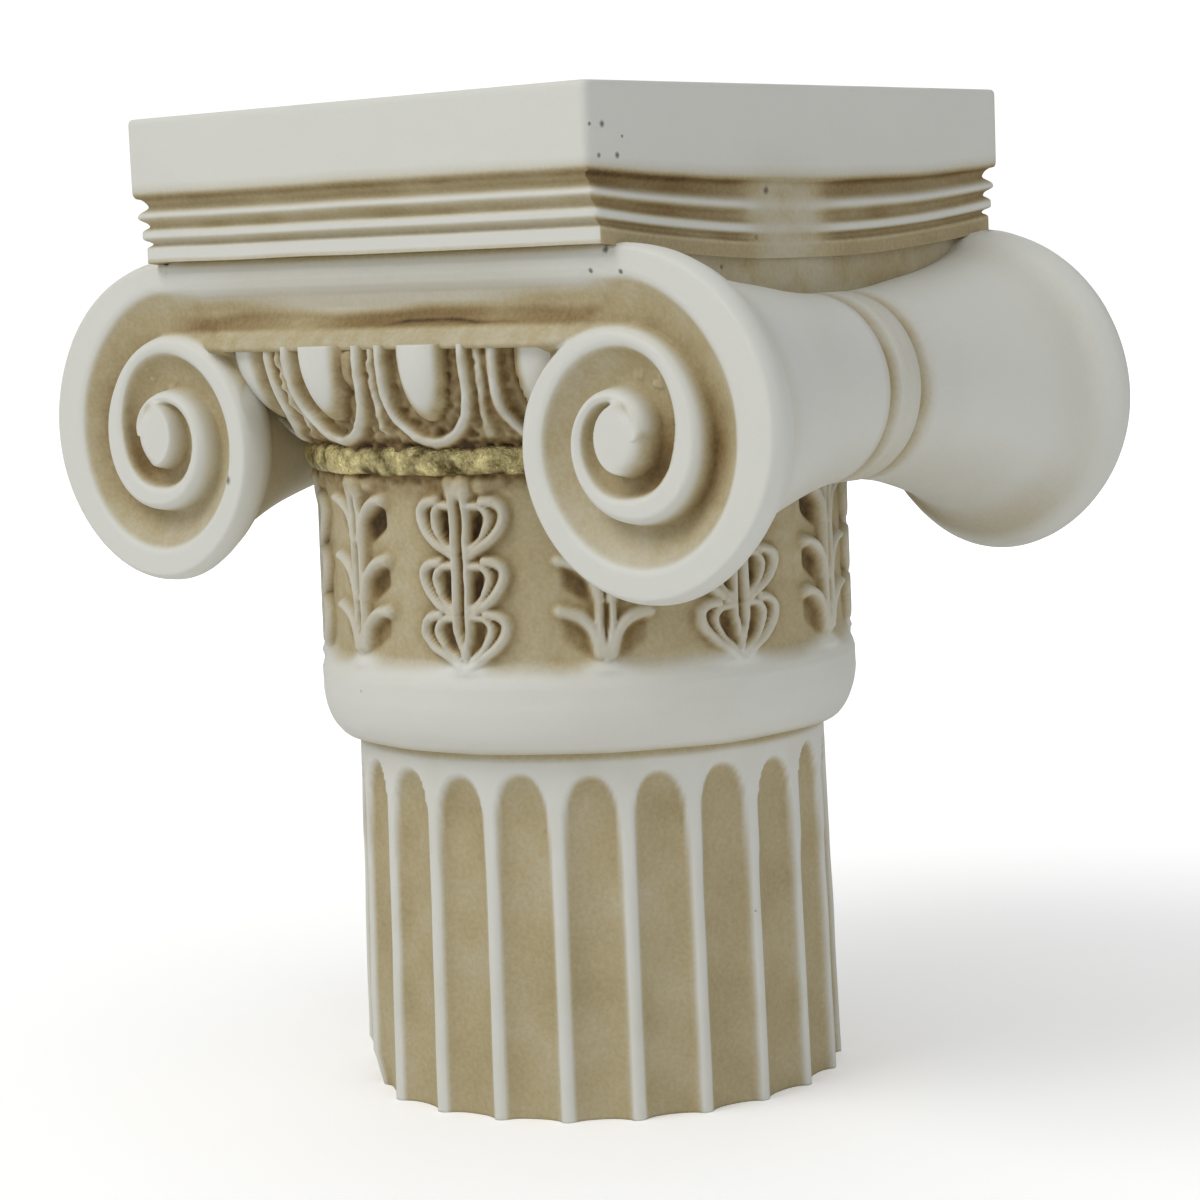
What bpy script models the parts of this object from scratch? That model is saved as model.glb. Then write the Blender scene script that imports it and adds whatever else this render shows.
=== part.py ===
"""A small ionic capital on a short fluted shaft, one single casting.

Metres, +Z up. The underside of the shaft rests on Z = 0 about the origin, the faces with
the eggs look to -Y and +Y, the sides with the rolled bolsters look to -X and +X.
"""

import math

import bmesh
import bpy

# whole casting; every level hangs from its top, the shaft takes up what is left
HEIGHT = 0.130
FASCIA_HEIGHT = 0.0105
CAP_HEIGHT = 0.0303
ECHINUS_HEIGHT = 0.0128
RING_HEIGHT = 0.0037
NECK_HEIGHT = 0.0260
BAND_HEIGHT = 0.0100
FLUTE_GAP = 0.0022

FASCIA_BOTTOM = HEIGHT - FASCIA_HEIGHT
ECHINUS_TOP = HEIGHT - CAP_HEIGHT
RING_TOP = ECHINUS_TOP - ECHINUS_HEIGHT
RING_BOTTOM = RING_TOP - RING_HEIGHT
BAND_TOP = RING_BOTTOM - NECK_HEIGHT
BAND_BOTTOM = BAND_TOP - BAND_HEIGHT
FLUTE_TOP = BAND_BOTTOM - FLUTE_GAP

# necking, and how far the members below and above stand in or out of it
NECK_RADIUS = 0.0343
NECK_FLARE = 0.0008
NECK_FLARE_HEIGHT = 0.0052
BAND_PROUD = 0.0018
BAND_ROUND = 0.0032
RING_PROUD = 0.0022
ECHINUS_PROUD = 0.0015
SHAFT_SET_BACK = 0.0031
SHAFT_TAPER = 0.0007

BAND_RADIUS = NECK_RADIUS + BAND_PROUD
RING_RADIUS = NECK_RADIUS + RING_PROUD
ECHINUS_FOOT_RADIUS = NECK_RADIUS + ECHINUS_PROUD
SHAFT_RADIUS_TOP = NECK_RADIUS - SHAFT_SET_BACK
SHAFT_RADIUS_FOOT = SHAFT_RADIUS_TOP + SHAFT_TAPER

# flutes and the worn patch at the foot
FLUTE_COUNT = 22
FLUTE_TURN = math.radians(7.7)
FLUTE_SHARE = 0.78
FLUTE_DEPTH = 0.0017
FLUTE_ARCH = 0.0062
CHIP_TURN = math.radians(-135.0)
CHIP_HEIGHT = 0.0046
CHIP_DEPTH = 0.0024
CHIP_SPREAD = 0.34

# palmettes on the necking
LEAF_GROUPS = 12
LEAF_TIERS = 3
LEAF_RISE = 0.0015
LEAF_ROOT = 0.0005
LEAF_SPREAD = 0.0054
LEAF_LENGTH = 0.0068
LEAF_HALF_WIDTH = 0.0014
LEAF_PITCH = 0.0072
LEAF_GAP = 0.0008
LEAF_FOOT = BAND_TOP + LEAF_GAP
STEM_WIDTH = 0.0024
STEM_RISE = 0.0018
STEM_SINK = 0.0006
BUD_SET_BACK = 0.0007

# abacus, and the core below it
FASCIA_HALF_X = 0.0401
FASCIA_HALF_Y = 0.0424
REED_COUNT = 3
REED_PITCH = 0.0026
REED_DEPTH = 0.0010
REED_STEP_Y = 0.0007
ABACUS_SAG = 0.0028
SAG_SIGMA = 0.0150
EDGE_SOFT = 0.0007
CORE_SET_X = 0.0015
CORE_SET_Y = 0.0054
CORE_DROP = 0.0037

CORE_HALF_X = FASCIA_HALF_X - CORE_SET_X
CORE_HALF_Y = FASCIA_HALF_Y - CORE_SET_Y
CORE_BOTTOM = ECHINUS_TOP - CORE_DROP

# echinus with the eggs
ECHINUS_SET_X = 0.0021
ECHINUS_SET_Y = 0.0018
ECHINUS_HALF_X = CORE_HALF_X - ECHINUS_SET_X
ECHINUS_HALF_Y = CORE_HALF_Y + ECHINUS_SET_Y
ECHINUS_POWER = 3.3
EGG_TURNS = (-0.63, -0.218, 0.218, 0.63)
EGG_HALF_WIDTH = 0.0037
EGG_GAP = 0.0033
EGG_BOTTOM = RING_TOP + EGG_GAP
EGG_RISE = 0.0027
SHELL_HALF_WIDTH = 0.0063
SHELL_GAP = 0.0011
SHELL_BOTTOM = RING_TOP + SHELL_GAP
SHELL_WIDTH = 0.0016
SHELL_RISE = 0.0016
DART_TURNS = (-0.424, 0.0, 0.424)
DART_WIDTH = 0.0016

# ledge that closes the canalis
LIP_RISE = 0.0016
LIP_THICK = 0.0020
LIP_BOW = 2.0
LIP_HALF_X = 0.0310

# volutes
EYE_SHIFT = 0.0012
EYE_DROP = 0.0121
EYE_X = FASCIA_HALF_X + EYE_SHIFT
EYE_Z = ECHINUS_TOP - EYE_DROP
SPIRAL_SCALE = 0.03698
SPIRAL_SHRINK = 0.735
SPIRAL_SINK = 0.01338
SPIRAL_BULGE = 0.045
SPIRAL_TURNS = 2.1
RIDGE_SHARE = 0.22
RIM_SET = 0.0010
RIM_RISE = 0.0023
RIM_ROOT = 0.0018
EYE_RISE = 0.0052
RIM_EDGE = CORE_HALF_Y - RIM_SET
RIM_FRONT = RIM_EDGE + RIM_RISE
RIM_BACK = RIM_EDGE - RIM_ROOT
EYE_FRONT = RIM_EDGE + EYE_RISE
KNOB_RADIUS = 0.0037
KNOB_SHIFT_X = -0.0012
KNOB_SHIFT_Z = 0.0015

# bolsters
BELT_SHIFT_X = 0.0014
BELT_SHIFT_Z = 0.0046
BELT_X = EYE_X + BELT_SHIFT_X
BELT_Z = EYE_Z + BELT_SHIFT_Z
BELT_RADIUS = 0.0118
BELT_HALF = 0.0022
GROOVE_WIDTH = 0.0016
GROOVE_DEPTH = 0.0009
BOLSTER_COLUMNS = 32

LATHE_COLUMNS = 48
EMBED = 0.0022
FACE_TARGET = 9600
MERGE_STEPS = (0.00001, 0.00002, 0.00003, 0.00004)
UNION_MERGE = 0.00001
PINPRICK_SIDES = 6


def clear_scene():
    """Remove the objects that a new file starts with."""
    for item in list(bpy.data.objects):
        bpy.data.objects.remove(item)


def clamp(value):
    """The value held between 0 and 1."""
    return max(0.0, min(1.0, value))


def blend(start, end, share):
    """Straight mix of two numbers."""
    return start + (end - start) * share


def object_from(name, bm):
    """A new object in the scene from a finished bmesh, all triangles, normals outward."""
    bmesh.ops.triangulate(bm, faces=bm.faces, quad_method="SHORT_EDGE")
    mesh = bpy.data.meshes.new(name)
    bm.to_mesh(mesh)
    bm.free()
    item = bpy.data.objects.new(name, mesh)
    bpy.context.scene.collection.objects.link(item)
    return item


def add_rows(bm, rows):
    """Closed skin through loops of points with a cap on each end, facing outward."""
    rings = [[bm.verts.new(point) for point in row] for row in rows]
    count = len(rows[0])
    skin = []
    for low, high in zip(rings, rings[1:]):
        for i in range(count):
            j = (i + 1) % count
            skin.append(bm.faces.new((low[i], low[j], high[j], high[i])))
    skin.append(bm.faces.new(list(reversed(rings[0]))))
    skin.append(bm.faces.new(rings[-1]))
    volume = 0.0
    for face in skin:
        first = face.verts[0].co
        for one, two in zip(face.verts[1:], face.verts[2:]):
            volume += first.dot(one.co.cross(two.co))
    if volume < 0.0:
        bmesh.ops.reverse_faces(bm, faces=skin)


def flute_depth(across, height):
    """Depth of a flute at a share of its half width and a height, with a rounded top."""
    start = FLUTE_TOP - FLUTE_ARCH
    up = max(0.0, (height - start) / FLUTE_ARCH)
    return FLUTE_DEPTH * math.sqrt(max(0.0, 1.0 - across * across - up * up))


def make_shaft():
    """Fluted shaft with arched flute tops and the worn patch at its foot."""
    pitch = 2.0 * math.pi / FLUTE_COUNT
    start = FLUTE_TOP - FLUTE_ARCH
    heights = [0.0, CHIP_HEIGHT]
    heights += [start + FLUTE_ARCH * share for share in (0.0, 0.5, 0.8, 0.95)]
    heights += [FLUTE_TOP, BAND_BOTTOM + 0.003]
    rows = []
    for height in heights:
        row = []
        radius = blend(SHAFT_RADIUS_FOOT, SHAFT_RADIUS_TOP, height / FLUTE_TOP)
        for flute in range(FLUTE_COUNT):
            middle = FLUTE_TURN + pitch * (flute + 0.5)
            for across in (-1.0, -0.55, 0.0, 0.55, 1.0, 1.0 / FLUTE_SHARE):
                angle = middle + across * FLUTE_SHARE * pitch * 0.5
                out = radius - flute_depth(min(across, 1.0), height)
                off = (angle - CHIP_TURN + math.pi) % (2.0 * math.pi) - math.pi
                near = clamp(1.5 - 1.5 * abs(off) / CHIP_SPREAD)
                out -= CHIP_DEPTH * near * clamp(1.0 - height / CHIP_HEIGHT)
                row.append((out * math.cos(angle), out * math.sin(angle), height))
        rows.append(row)
    bm = bmesh.new()
    add_rows(bm, rows)
    return object_from("shaft", bm)


def echinus_reach(angle, height):
    """Distance of the echinus ground from the axis: round below, squarer at its top."""
    share = clamp((height - RING_TOP) / (ECHINUS_TOP - RING_TOP))
    share = math.sin(share * math.pi * 0.5) ** 0.9
    c = abs(math.cos(angle)) / ECHINUS_HALF_X
    s = abs(math.sin(angle)) / ECHINUS_HALF_Y
    top = (c ** ECHINUS_POWER + s ** ECHINUS_POWER) ** (-1.0 / ECHINUS_POWER)
    return blend(ECHINUS_FOOT_RADIUS, top, share)


def neck_reach(height):
    """Radius of the necking ground at a height."""
    share = clamp(1.0 - (RING_BOTTOM - height) / NECK_FLARE_HEIGHT)
    return NECK_RADIUS + NECK_FLARE * share * share


def make_body():
    """Plain band, necking, ring and echinus ground turned about one axis."""
    profile = [
        (BAND_BOTTOM, BAND_RADIUS - BAND_ROUND),
        (BAND_BOTTOM + 0.25 * BAND_ROUND, BAND_RADIUS - 0.72 * BAND_ROUND),
        (BAND_BOTTOM + 0.75 * BAND_ROUND, BAND_RADIUS - 0.35 * BAND_ROUND),
        (BAND_BOTTOM + 1.25 * BAND_ROUND, BAND_RADIUS - 0.11 * BAND_ROUND),
        (BAND_BOTTOM + 1.95 * BAND_ROUND, BAND_RADIUS),
        (BAND_TOP - 0.0020, BAND_RADIUS),
        (BAND_TOP, BAND_RADIUS - 0.0008),
        (BAND_TOP + 0.0014, NECK_RADIUS),
        (RING_BOTTOM - NECK_FLARE_HEIGHT, NECK_RADIUS),
        (RING_BOTTOM, neck_reach(RING_BOTTOM)),
        (RING_BOTTOM + 0.0004, RING_RADIUS - 0.0005),
        (0.5 * (RING_BOTTOM + RING_TOP), RING_RADIUS),
        (RING_TOP - 0.0004, RING_RADIUS - 0.0005),
        (RING_TOP, ECHINUS_FOOT_RADIUS - 0.0006),
    ]
    turns = [2.0 * math.pi * (i + 0.5) / LATHE_COLUMNS for i in range(LATHE_COLUMNS)]
    rows = [[(r * math.cos(a), r * math.sin(a), z) for a in turns] for z, r in profile]
    for share in (0.12, 0.35, 0.65, 1.0):
        height = blend(RING_TOP, ECHINUS_TOP, share)
        row = []
        for a in turns:
            reach = echinus_reach(a, height)
            row.append((reach * math.cos(a), reach * math.sin(a), height))
        rows.append(row)
    bm = bmesh.new()
    add_rows(bm, rows)
    return object_from("ionic_column", bm)


def neck_point(angle, side, height, rise):
    """A point on the necking, a length sideways from an angle, and proud by a rise."""
    reach = neck_reach(height) + rise
    turn = angle + side / NECK_RADIUS
    return (reach * math.cos(turn), reach * math.sin(turn), height)


def make_stems():
    """Upright stem of every palmette, with the bud that runs up into the ring."""
    bm = bmesh.new()
    stations = (
        (LEAF_FOOT - 0.0012, 0.6, STEM_RISE),
        (RING_BOTTOM - 0.0036, 1.0, STEM_RISE),
        (RING_BOTTOM - 0.0006, 1.5, STEM_RISE),
        (RING_BOTTOM + STEM_SINK, 1.3, RING_PROUD - NECK_FLARE - BUD_SET_BACK),
    )
    for group in range(LEAF_GROUPS):
        angle = 2.0 * math.pi * (group + 0.5) / LEAF_GROUPS
        rows = []
        for height, width, rise in stations:
            half = STEM_WIDTH * 0.5 * width
            rows.append([
                neck_point(angle, -half - 0.0003, height, -EMBED),
                neck_point(angle, -half * 0.7, height, rise),
                neck_point(angle, half * 0.7, height, rise),
                neck_point(angle, half + 0.0003, height, -EMBED),
            ])
        add_rows(bm, rows)
    return object_from("stems", bm)


def make_leaves(side):
    """The curled leaves on one side of every stem, as tapering ridges bent back at the top."""
    bm = bmesh.new()
    for group in range(LEAF_GROUPS):
        angle = 2.0 * math.pi * (group + 0.5) / LEAF_GROUPS
        for tier in range(LEAF_TIERS):
            foot = LEAF_FOOT + 0.0020 + LEAF_PITCH * tier
            stations = (
                (0.0003, 0.00, 0.7, 0.6, 0.6),
                (LEAF_SPREAD * 0.62, 0.36, 0.9, 1.0, 1.0),
                (LEAF_SPREAD * 0.92, 0.78, 1.0, 0.8, 1.0),
                (LEAF_SPREAD * 0.50, 1.02, 0.6, -0.3, 0.9),
            )
            rows = []
            for reach, share, wide, lean, proud in stations:
                half = LEAF_HALF_WIDTH * wide
                height = foot + LEAF_LENGTH * share
                off = half * lean
                rows.append([
                    neck_point(angle, side * (reach + half), height - off, -LEAF_ROOT),
                    neck_point(angle, side * reach, height, LEAF_RISE * proud),
                    neck_point(angle, side * (reach - half), height + off, -LEAF_ROOT),
                ])
            add_rows(bm, rows)
    return object_from("leaves", bm)


def echinus_point(face, turn, side, height, rise):
    """A point over the echinus ground at a turn from the face middle."""
    angle = face * math.pi * 0.5 + turn
    reach = echinus_reach(angle, height) + rise
    x = reach * math.cos(angle) - side * math.sin(angle)
    y = reach * math.sin(angle) + side * math.cos(angle)
    return (x, y, height)


def make_eggs(face):
    """The row of eggs on one face."""
    bm = bmesh.new()
    top = ECHINUS_TOP + 0.0004
    for turn in EGG_TURNS:
        rows = []
        for share in (0.0, 0.30, 0.60, 0.84, 1.0):
            height = blend(top, EGG_BOTTOM, share)
            full = math.sqrt(max(0.04, 1.0 - share * share * 0.985))
            half = EGG_HALF_WIDTH * full
            rise = EGG_RISE * (0.25 + 0.75 * full)
            rows.append([
                echinus_point(face, turn, -half, height, -EMBED),
                echinus_point(face, turn, -half, height, 0.25 * rise),
                echinus_point(face, turn, -half * 0.5, height, 0.90 * rise),
                echinus_point(face, turn, half * 0.5, height, 0.90 * rise),
                echinus_point(face, turn, half, height, 0.25 * rise),
                echinus_point(face, turn, half, height, -EMBED),
            ])
        add_rows(bm, rows)
    return object_from("eggs", bm)


def make_shells(face):
    """The open shell round every egg, a thin ridge bent to a U."""
    bm = bmesh.new()
    top = ECHINUS_TOP + 0.0003
    arc = [math.pi * i / 8.0 for i in range(9)]
    for turn in EGG_TURNS:
        path = [(-SHELL_HALF_WIDTH, top, -1.0, 0.0)]
        straight = SHELL_BOTTOM + SHELL_HALF_WIDTH * 1.1
        for a in arc:
            path.append((
                -SHELL_HALF_WIDTH * math.cos(a),
                straight - (straight - SHELL_BOTTOM) * math.sin(a),
                -math.cos(a),
                -math.sin(a),
            ))
        path.append((SHELL_HALF_WIDTH, top, 1.0, 0.0))
        rows = []
        for side, height, out_u, out_z in path:
            row = []
            for off, rise in ((0.6, -EMBED), (0.35, SHELL_RISE), (-0.35, SHELL_RISE), (-0.6, -EMBED)):
                u = side + out_u * off * SHELL_WIDTH
                z = height + out_z * off * SHELL_WIDTH
                row.append(echinus_point(face, turn, u, z, rise))
            rows.append(row)
        add_rows(bm, rows)
    return object_from("shells", bm)


def make_darts(face):
    """The narrow dart between two shells."""
    bm = bmesh.new()
    for turn in DART_TURNS:
        rows = []
        for height, width in ((ECHINUS_TOP + 0.0002, 1.0), (SHELL_BOTTOM + 0.0010, 0.7)):
            half = 0.5 * DART_WIDTH * width
            rows.append([
                echinus_point(face, turn, -half, height, -EMBED),
                echinus_point(face, turn, 0.0, height, SHELL_RISE * 0.8),
                echinus_point(face, turn, half, height, -EMBED),
            ])
        add_rows(bm, rows)
    return object_from("darts", bm)


def make_core():
    """Block between the volutes, its front and back are the floor of the canalis."""
    rows = []
    for height in (CORE_BOTTOM, FASCIA_BOTTOM - 0.004):
        rows.append([
            (-CORE_HALF_X, -CORE_HALF_Y, height),
            (CORE_HALF_X, -CORE_HALF_Y, height),
            (CORE_HALF_X, CORE_HALF_Y, height),
            (-CORE_HALF_X, CORE_HALF_Y, height),
        ])
    bm = bmesh.new()
    add_rows(bm, rows)
    return object_from("core", bm)


def make_lip(face):
    """Ledge that closes the canalis above the eggs, wedge-shaped, fading to both ends."""
    rows = []
    count = 8
    for i in range(count + 1):
        share = -1.0 + 2.0 * i / count
        x = share * LIP_HALF_X
        fade = clamp((1.0 - abs(share)) * 3.0)
        bow = LIP_RISE - LIP_BOW * x * x
        out = CORE_HALF_Y + 0.0002 + (bow + 0.0008) * fade
        back = CORE_HALF_Y - EMBED
        rows.append([
            (x, face * back, ECHINUS_TOP - 0.0008),
            (x, face * (out - 0.0003), ECHINUS_TOP - 0.0004),
            (x, face * out, ECHINUS_TOP + LIP_THICK * 0.45),
            (x, face * (CORE_HALF_Y - 0.0004), ECHINUS_TOP + LIP_THICK * 2.4),
            (x, face * back, ECHINUS_TOP + LIP_THICK * 2.4),
        ])
    bm = bmesh.new()
    add_rows(bm, rows)
    return object_from("lip", bm)


def spiral_reach(turn):
    """Distance of the outer edge of the spiral from the eye after a turn in radians."""
    reach = SPIRAL_SCALE * SPIRAL_SHRINK ** (turn / (2.0 * math.pi)) - SPIRAL_SINK
    if turn < math.pi:
        reach *= 1.0 + SPIRAL_BULGE * math.sin(turn) ** 2
    return reach


def bolster_reach(turn, out):
    """Radius of a bolster at a turn about its middle line; out is 0 at the belt, 1 at the rim."""
    if turn <= 1.5 * math.pi:
        rim = spiral_reach(turn)
    else:
        share = (turn - 1.5 * math.pi) / (0.5 * math.pi)
        share = share * share * (3.0 - 2.0 * share)
        rim = blend(spiral_reach(1.5 * math.pi), spiral_reach(0.0), share)
    return blend(BELT_RADIUS, rim, out * out)


def make_bolster(side):
    """One rolled bolster with its belt, from the front volute to the back one."""
    half = [
        (BELT_HALF, 0.0),
        (BELT_HALF + 0.0004, GROOVE_DEPTH),
        (BELT_HALF + GROOVE_WIDTH - 0.0003, GROOVE_DEPTH),
        (BELT_HALF + GROOVE_WIDTH + 0.0003, 0.0),
        (RIM_EDGE * 0.333, 0.0),
        (RIM_EDGE * 0.528, 0.0),
        (RIM_EDGE * 0.722, 0.0),
        (RIM_EDGE * 0.889, 0.0),
        (RIM_EDGE, 0.0008),
    ]
    stations = [(-y, cut) for y, cut in reversed(half)] + half
    turns = [2.0 * math.pi * i / BOLSTER_COLUMNS for i in range(BOLSTER_COLUMNS)]

    def loop(y, cut, shrink, out):
        middle_x = blend(BELT_X, EYE_X, out * out)
        middle_z = blend(BELT_Z, EYE_Z, out * out)
        row = []
        for turn in turns:
            reach = (bolster_reach(turn, out) - cut) * shrink
            x = side * (middle_x + reach * math.sin(turn))
            row.append((x, y, middle_z + reach * math.cos(turn)))
        return row

    rows = [loop(-RIM_EDGE - 0.0026, 0.0008, 0.12, 1.0)]
    rows += [loop(-RIM_EDGE - 0.0010, 0.0008, 0.65, 1.0)]
    for y, cut in stations:
        rows.append(loop(y, cut, 1.0, abs(y) / RIM_EDGE))
    rows += [loop(RIM_EDGE + 0.0010, 0.0008, 0.65, 1.0)]
    rows += [loop(RIM_EDGE + 0.0026, 0.0008, 0.12, 1.0)]
    bm = bmesh.new()
    add_rows(bm, rows)
    return object_from("bolster", bm)


def make_spirals(face):
    """Raised edge of both volutes and of the canalis between them, as one swept ridge."""
    end = 2.0 * math.pi * SPIRAL_TURNS
    turns = []
    turn = 0.0
    while turn < end - 0.01:
        turns.append(turn)
        turn += math.radians(15.0 if turn < 2.0 * math.pi - 0.01 else 20.0)
    turns.append(end)
    stations = [(-1.0, turn) for turn in reversed(turns)] + [(0.0, 0.0)]
    stations += [(1.0, turn) for turn in turns]
    rows = []
    for side, turn in stations:
        inner = clamp(turn / (4.0 * math.pi))
        reach = spiral_reach(turn)
        wide = RIDGE_SHARE * reach
        crest = RIM_FRONT + (EYE_FRONT - RIM_FRONT) * 0.72 * inner
        floor = RIM_EDGE + 0.0002 + 0.0016 * inner
        edge = blend(RIM_EDGE, floor + 0.0002, clamp(turn / (2.0 * math.pi) * 4.0 - 3.5))
        section = (
            (0.28, RIM_BACK),
            (0.00, edge),
            (0.22, blend(edge, crest, 0.82)),
            (0.52, crest),
            (1.02, floor - 0.0004),
            (0.90, RIM_BACK),
        )
        row = []
        for share, depth in section:
            off = reach - share * wide
            x = side * (EYE_X + off * math.sin(turn))
            row.append((x, face * depth, EYE_Z + off * math.cos(turn)))
        rows.append(row)
    bm = bmesh.new()
    add_rows(bm, rows)
    return object_from("spirals", bm)


def make_knobs(face):
    """Round eye of both volutes on one face."""
    bm = bmesh.new()
    columns = 12
    for side in (-1.0, 1.0):
        rows = []
        steps = ((RIM_BACK, 1.0), (EYE_FRONT - 0.0016, 1.0), (EYE_FRONT - 0.0004, 0.72))
        for depth, share in steps + ((EYE_FRONT, 0.30),):
            row = []
            for i in range(columns):
                turn = 2.0 * math.pi * (i + 0.5) / columns
                reach = KNOB_RADIUS * share
                x = side * (EYE_X + KNOB_SHIFT_X + reach * math.sin(turn))
                row.append((x, face * depth, EYE_Z + KNOB_SHIFT_Z + reach * math.cos(turn)))
            rows.append(row)
        add_rows(bm, rows)
    return object_from("knobs", bm)


def side_sag(y):
    """How far the lines of the bolster side hang down at a distance from its middle."""
    return math.exp(-((y / SAG_SIGMA) ** 2))


def make_abacus():
    """Square plate with its reeds; the lines hang and fade in the middle of two sides."""
    profile = [
        (HEIGHT, 0.0, EDGE_SOFT),
        (HEIGHT - EDGE_SOFT, 0.0, 0.0),
        (FASCIA_BOTTOM + 0.0004, 0.0, 0.0),
    ]
    for reed in range(REED_COUNT):
        top = FASCIA_BOTTOM - REED_PITCH * reed
        step = 0.0002 + REED_STEP_Y * (reed + 1)
        profile.append((top - 0.0004, step, REED_DEPTH))
        profile.append((top - 0.0011, step, REED_DEPTH))
        profile.append((top - 0.0016, step, 0.0))
        profile.append((top - REED_PITCH + 0.0002, step, 0.0))
    last = FASCIA_BOTTOM - REED_PITCH * REED_COUNT - 0.0002
    profile.append((last, REED_STEP_Y * REED_COUNT, REED_DEPTH))
    rows = []
    side_count = 10
    for height, step, groove in profile:
        row = []
        hang = clamp((HEIGHT - EDGE_SOFT - height) / (HEIGHT - EDGE_SOFT - FASCIA_BOTTOM))
        for side in (1.0, -1.0):
            for i in range(side_count + 1):
                share = -1.0 + 2.0 * i / side_count
                y = side * share * (FASCIA_HALF_Y - step - groove)
                middle = side_sag(y)
                drop = ABACUS_SAG * middle * hang
                deep = groove if height > FASCIA_BOTTOM else blend(groove, REED_DEPTH, middle)
                row.append((side * (FASCIA_HALF_X - deep), y, height - drop))
        rows.append(row)
    bm = bmesh.new()
    add_rows(bm, rows)
    return object_from("abacus", bm)


def unite(base, other):
    """Join another closed shape to the base as one solid and drop the loose copy."""
    step = base.modifiers.new("unite", "BOOLEAN")
    step.operation = "UNION"
    step.solver = "EXACT"
    step.object = other
    bpy.context.view_layer.objects.active = base
    bpy.ops.object.modifier_apply(modifier=step.name)
    bpy.data.objects.remove(other)
    heal(base, UNION_MERGE)


def heal(item, reach):
    """Merge the points that a union leaves almost in one place, and fill its pinpricks."""
    bm = bmesh.new()
    bm.from_mesh(item.data)
    bmesh.ops.remove_doubles(bm, verts=bm.verts, dist=reach)
    bmesh.ops.dissolve_degenerate(bm, edges=bm.edges, dist=reach * 0.5)
    rims = [edge for edge in bm.edges if len(edge.link_faces) == 1]
    bmesh.ops.holes_fill(bm, edges=rims, sides=PINPRICK_SIDES)
    bmesh.ops.recalc_face_normals(bm, faces=bm.faces)
    bm.to_mesh(item.data)
    bm.free()


def is_closed(mesh):
    """Whether every edge of a mesh joins exactly two faces."""
    bm = bmesh.new()
    bm.from_mesh(mesh)
    closed = all(len(edge.link_faces) == 2 for edge in bm.edges)
    bm.free()
    return closed


def tidy(item, reach):
    """Close up the very small faces that the unions leave."""
    bm = bmesh.new()
    bm.from_mesh(item.data)
    bmesh.ops.remove_doubles(bm, verts=bm.verts, dist=reach)
    bmesh.ops.dissolve_degenerate(bm, edges=bm.edges, dist=reach * 0.5)
    bmesh.ops.triangulate(bm, faces=bm.faces)
    bmesh.ops.recalc_face_normals(bm, faces=bm.faces)
    bm.to_mesh(item.data)
    bm.free()


def thin_out(item):
    """Bring the face count down to the target where the surface is nearly flat."""
    step = item.modifiers.new("thin", "DECIMATE")
    step.ratio = min(1.0, FACE_TARGET / len(item.data.polygons))
    bpy.context.view_layer.objects.active = item
    bpy.ops.object.modifier_apply(modifier=step.name)


def finish_skin(item):
    """Tidy and thin the united skin, with the first merge that leaves it closed."""
    united = item.data.copy()
    for reach in MERGE_STEPS:
        item.data = united.copy()
        tidy(item, reach)
        thin_out(item)
        if is_closed(item.data):
            return
    raise RuntimeError("the united skin of the column is not closed")


def level_ends(item):
    """Bring the resting face and the top face back to true planes."""
    for vertex in item.data.vertices:
        if vertex.co.z < 0.0004:
            vertex.co.z = 0.0
        elif vertex.co.z > HEIGHT - 0.0002:
            vertex.co.z = HEIGHT


def stone_material():
    """Pale cast stone."""
    material = bpy.data.materials.new("cast_stone")
    material.use_nodes = True
    shader = material.node_tree.nodes["Principled BSDF"]
    shader.inputs["Base Color"].default_value = (0.66, 0.64, 0.56, 1.0)
    shader.inputs["Roughness"].default_value = 0.7
    return material


def build_column():
    """The whole casting as one solid."""
    column = make_body()
    unite(column, make_shaft())
    unite(column, make_core())
    for side in (-1.0, 1.0):
        unite(column, make_bolster(side))
    unite(column, make_abacus())
    for face in (-1.0, 1.0):
        unite(column, make_lip(face))
        unite(column, make_spirals(face))
        unite(column, make_knobs(face))
        unite(column, make_shells(face))
        unite(column, make_eggs(face))
        unite(column, make_darts(face))
    for side in (-1.0, 1.0):
        unite(column, make_leaves(side))
    unite(column, make_stems())
    finish_skin(column)
    level_ends(column)
    column.data.materials.append(stone_material())
    bpy.context.view_layer.objects.active = column
    column.select_set(True)
    bpy.ops.object.shade_smooth()
    column.data.set_sharp_from_angle(angle=math.radians(32.0))
    return column


clear_scene()
build_column()
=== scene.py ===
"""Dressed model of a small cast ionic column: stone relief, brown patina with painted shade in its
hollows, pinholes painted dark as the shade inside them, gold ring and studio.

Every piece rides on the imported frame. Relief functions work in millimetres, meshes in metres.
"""

import math

import bmesh
import bpy
import numpy as np
from mathutils import Matrix, Vector


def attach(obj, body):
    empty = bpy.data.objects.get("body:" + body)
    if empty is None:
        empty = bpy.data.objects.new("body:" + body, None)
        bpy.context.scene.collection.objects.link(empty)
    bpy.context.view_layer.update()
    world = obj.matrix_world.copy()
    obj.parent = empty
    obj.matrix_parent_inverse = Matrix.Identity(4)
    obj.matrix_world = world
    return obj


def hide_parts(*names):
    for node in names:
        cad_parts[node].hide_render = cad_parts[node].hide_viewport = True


bl_info = {
    "name": "Cast ionic column",
    "version": (1, 0, 0),
    "blender": (4, 5, 0),
    "location": "View3D > Sidebar > Column",
    "description": "Builds the carved column, its wash and its studio on the packed frame",
    "category": "Object",
}

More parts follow.
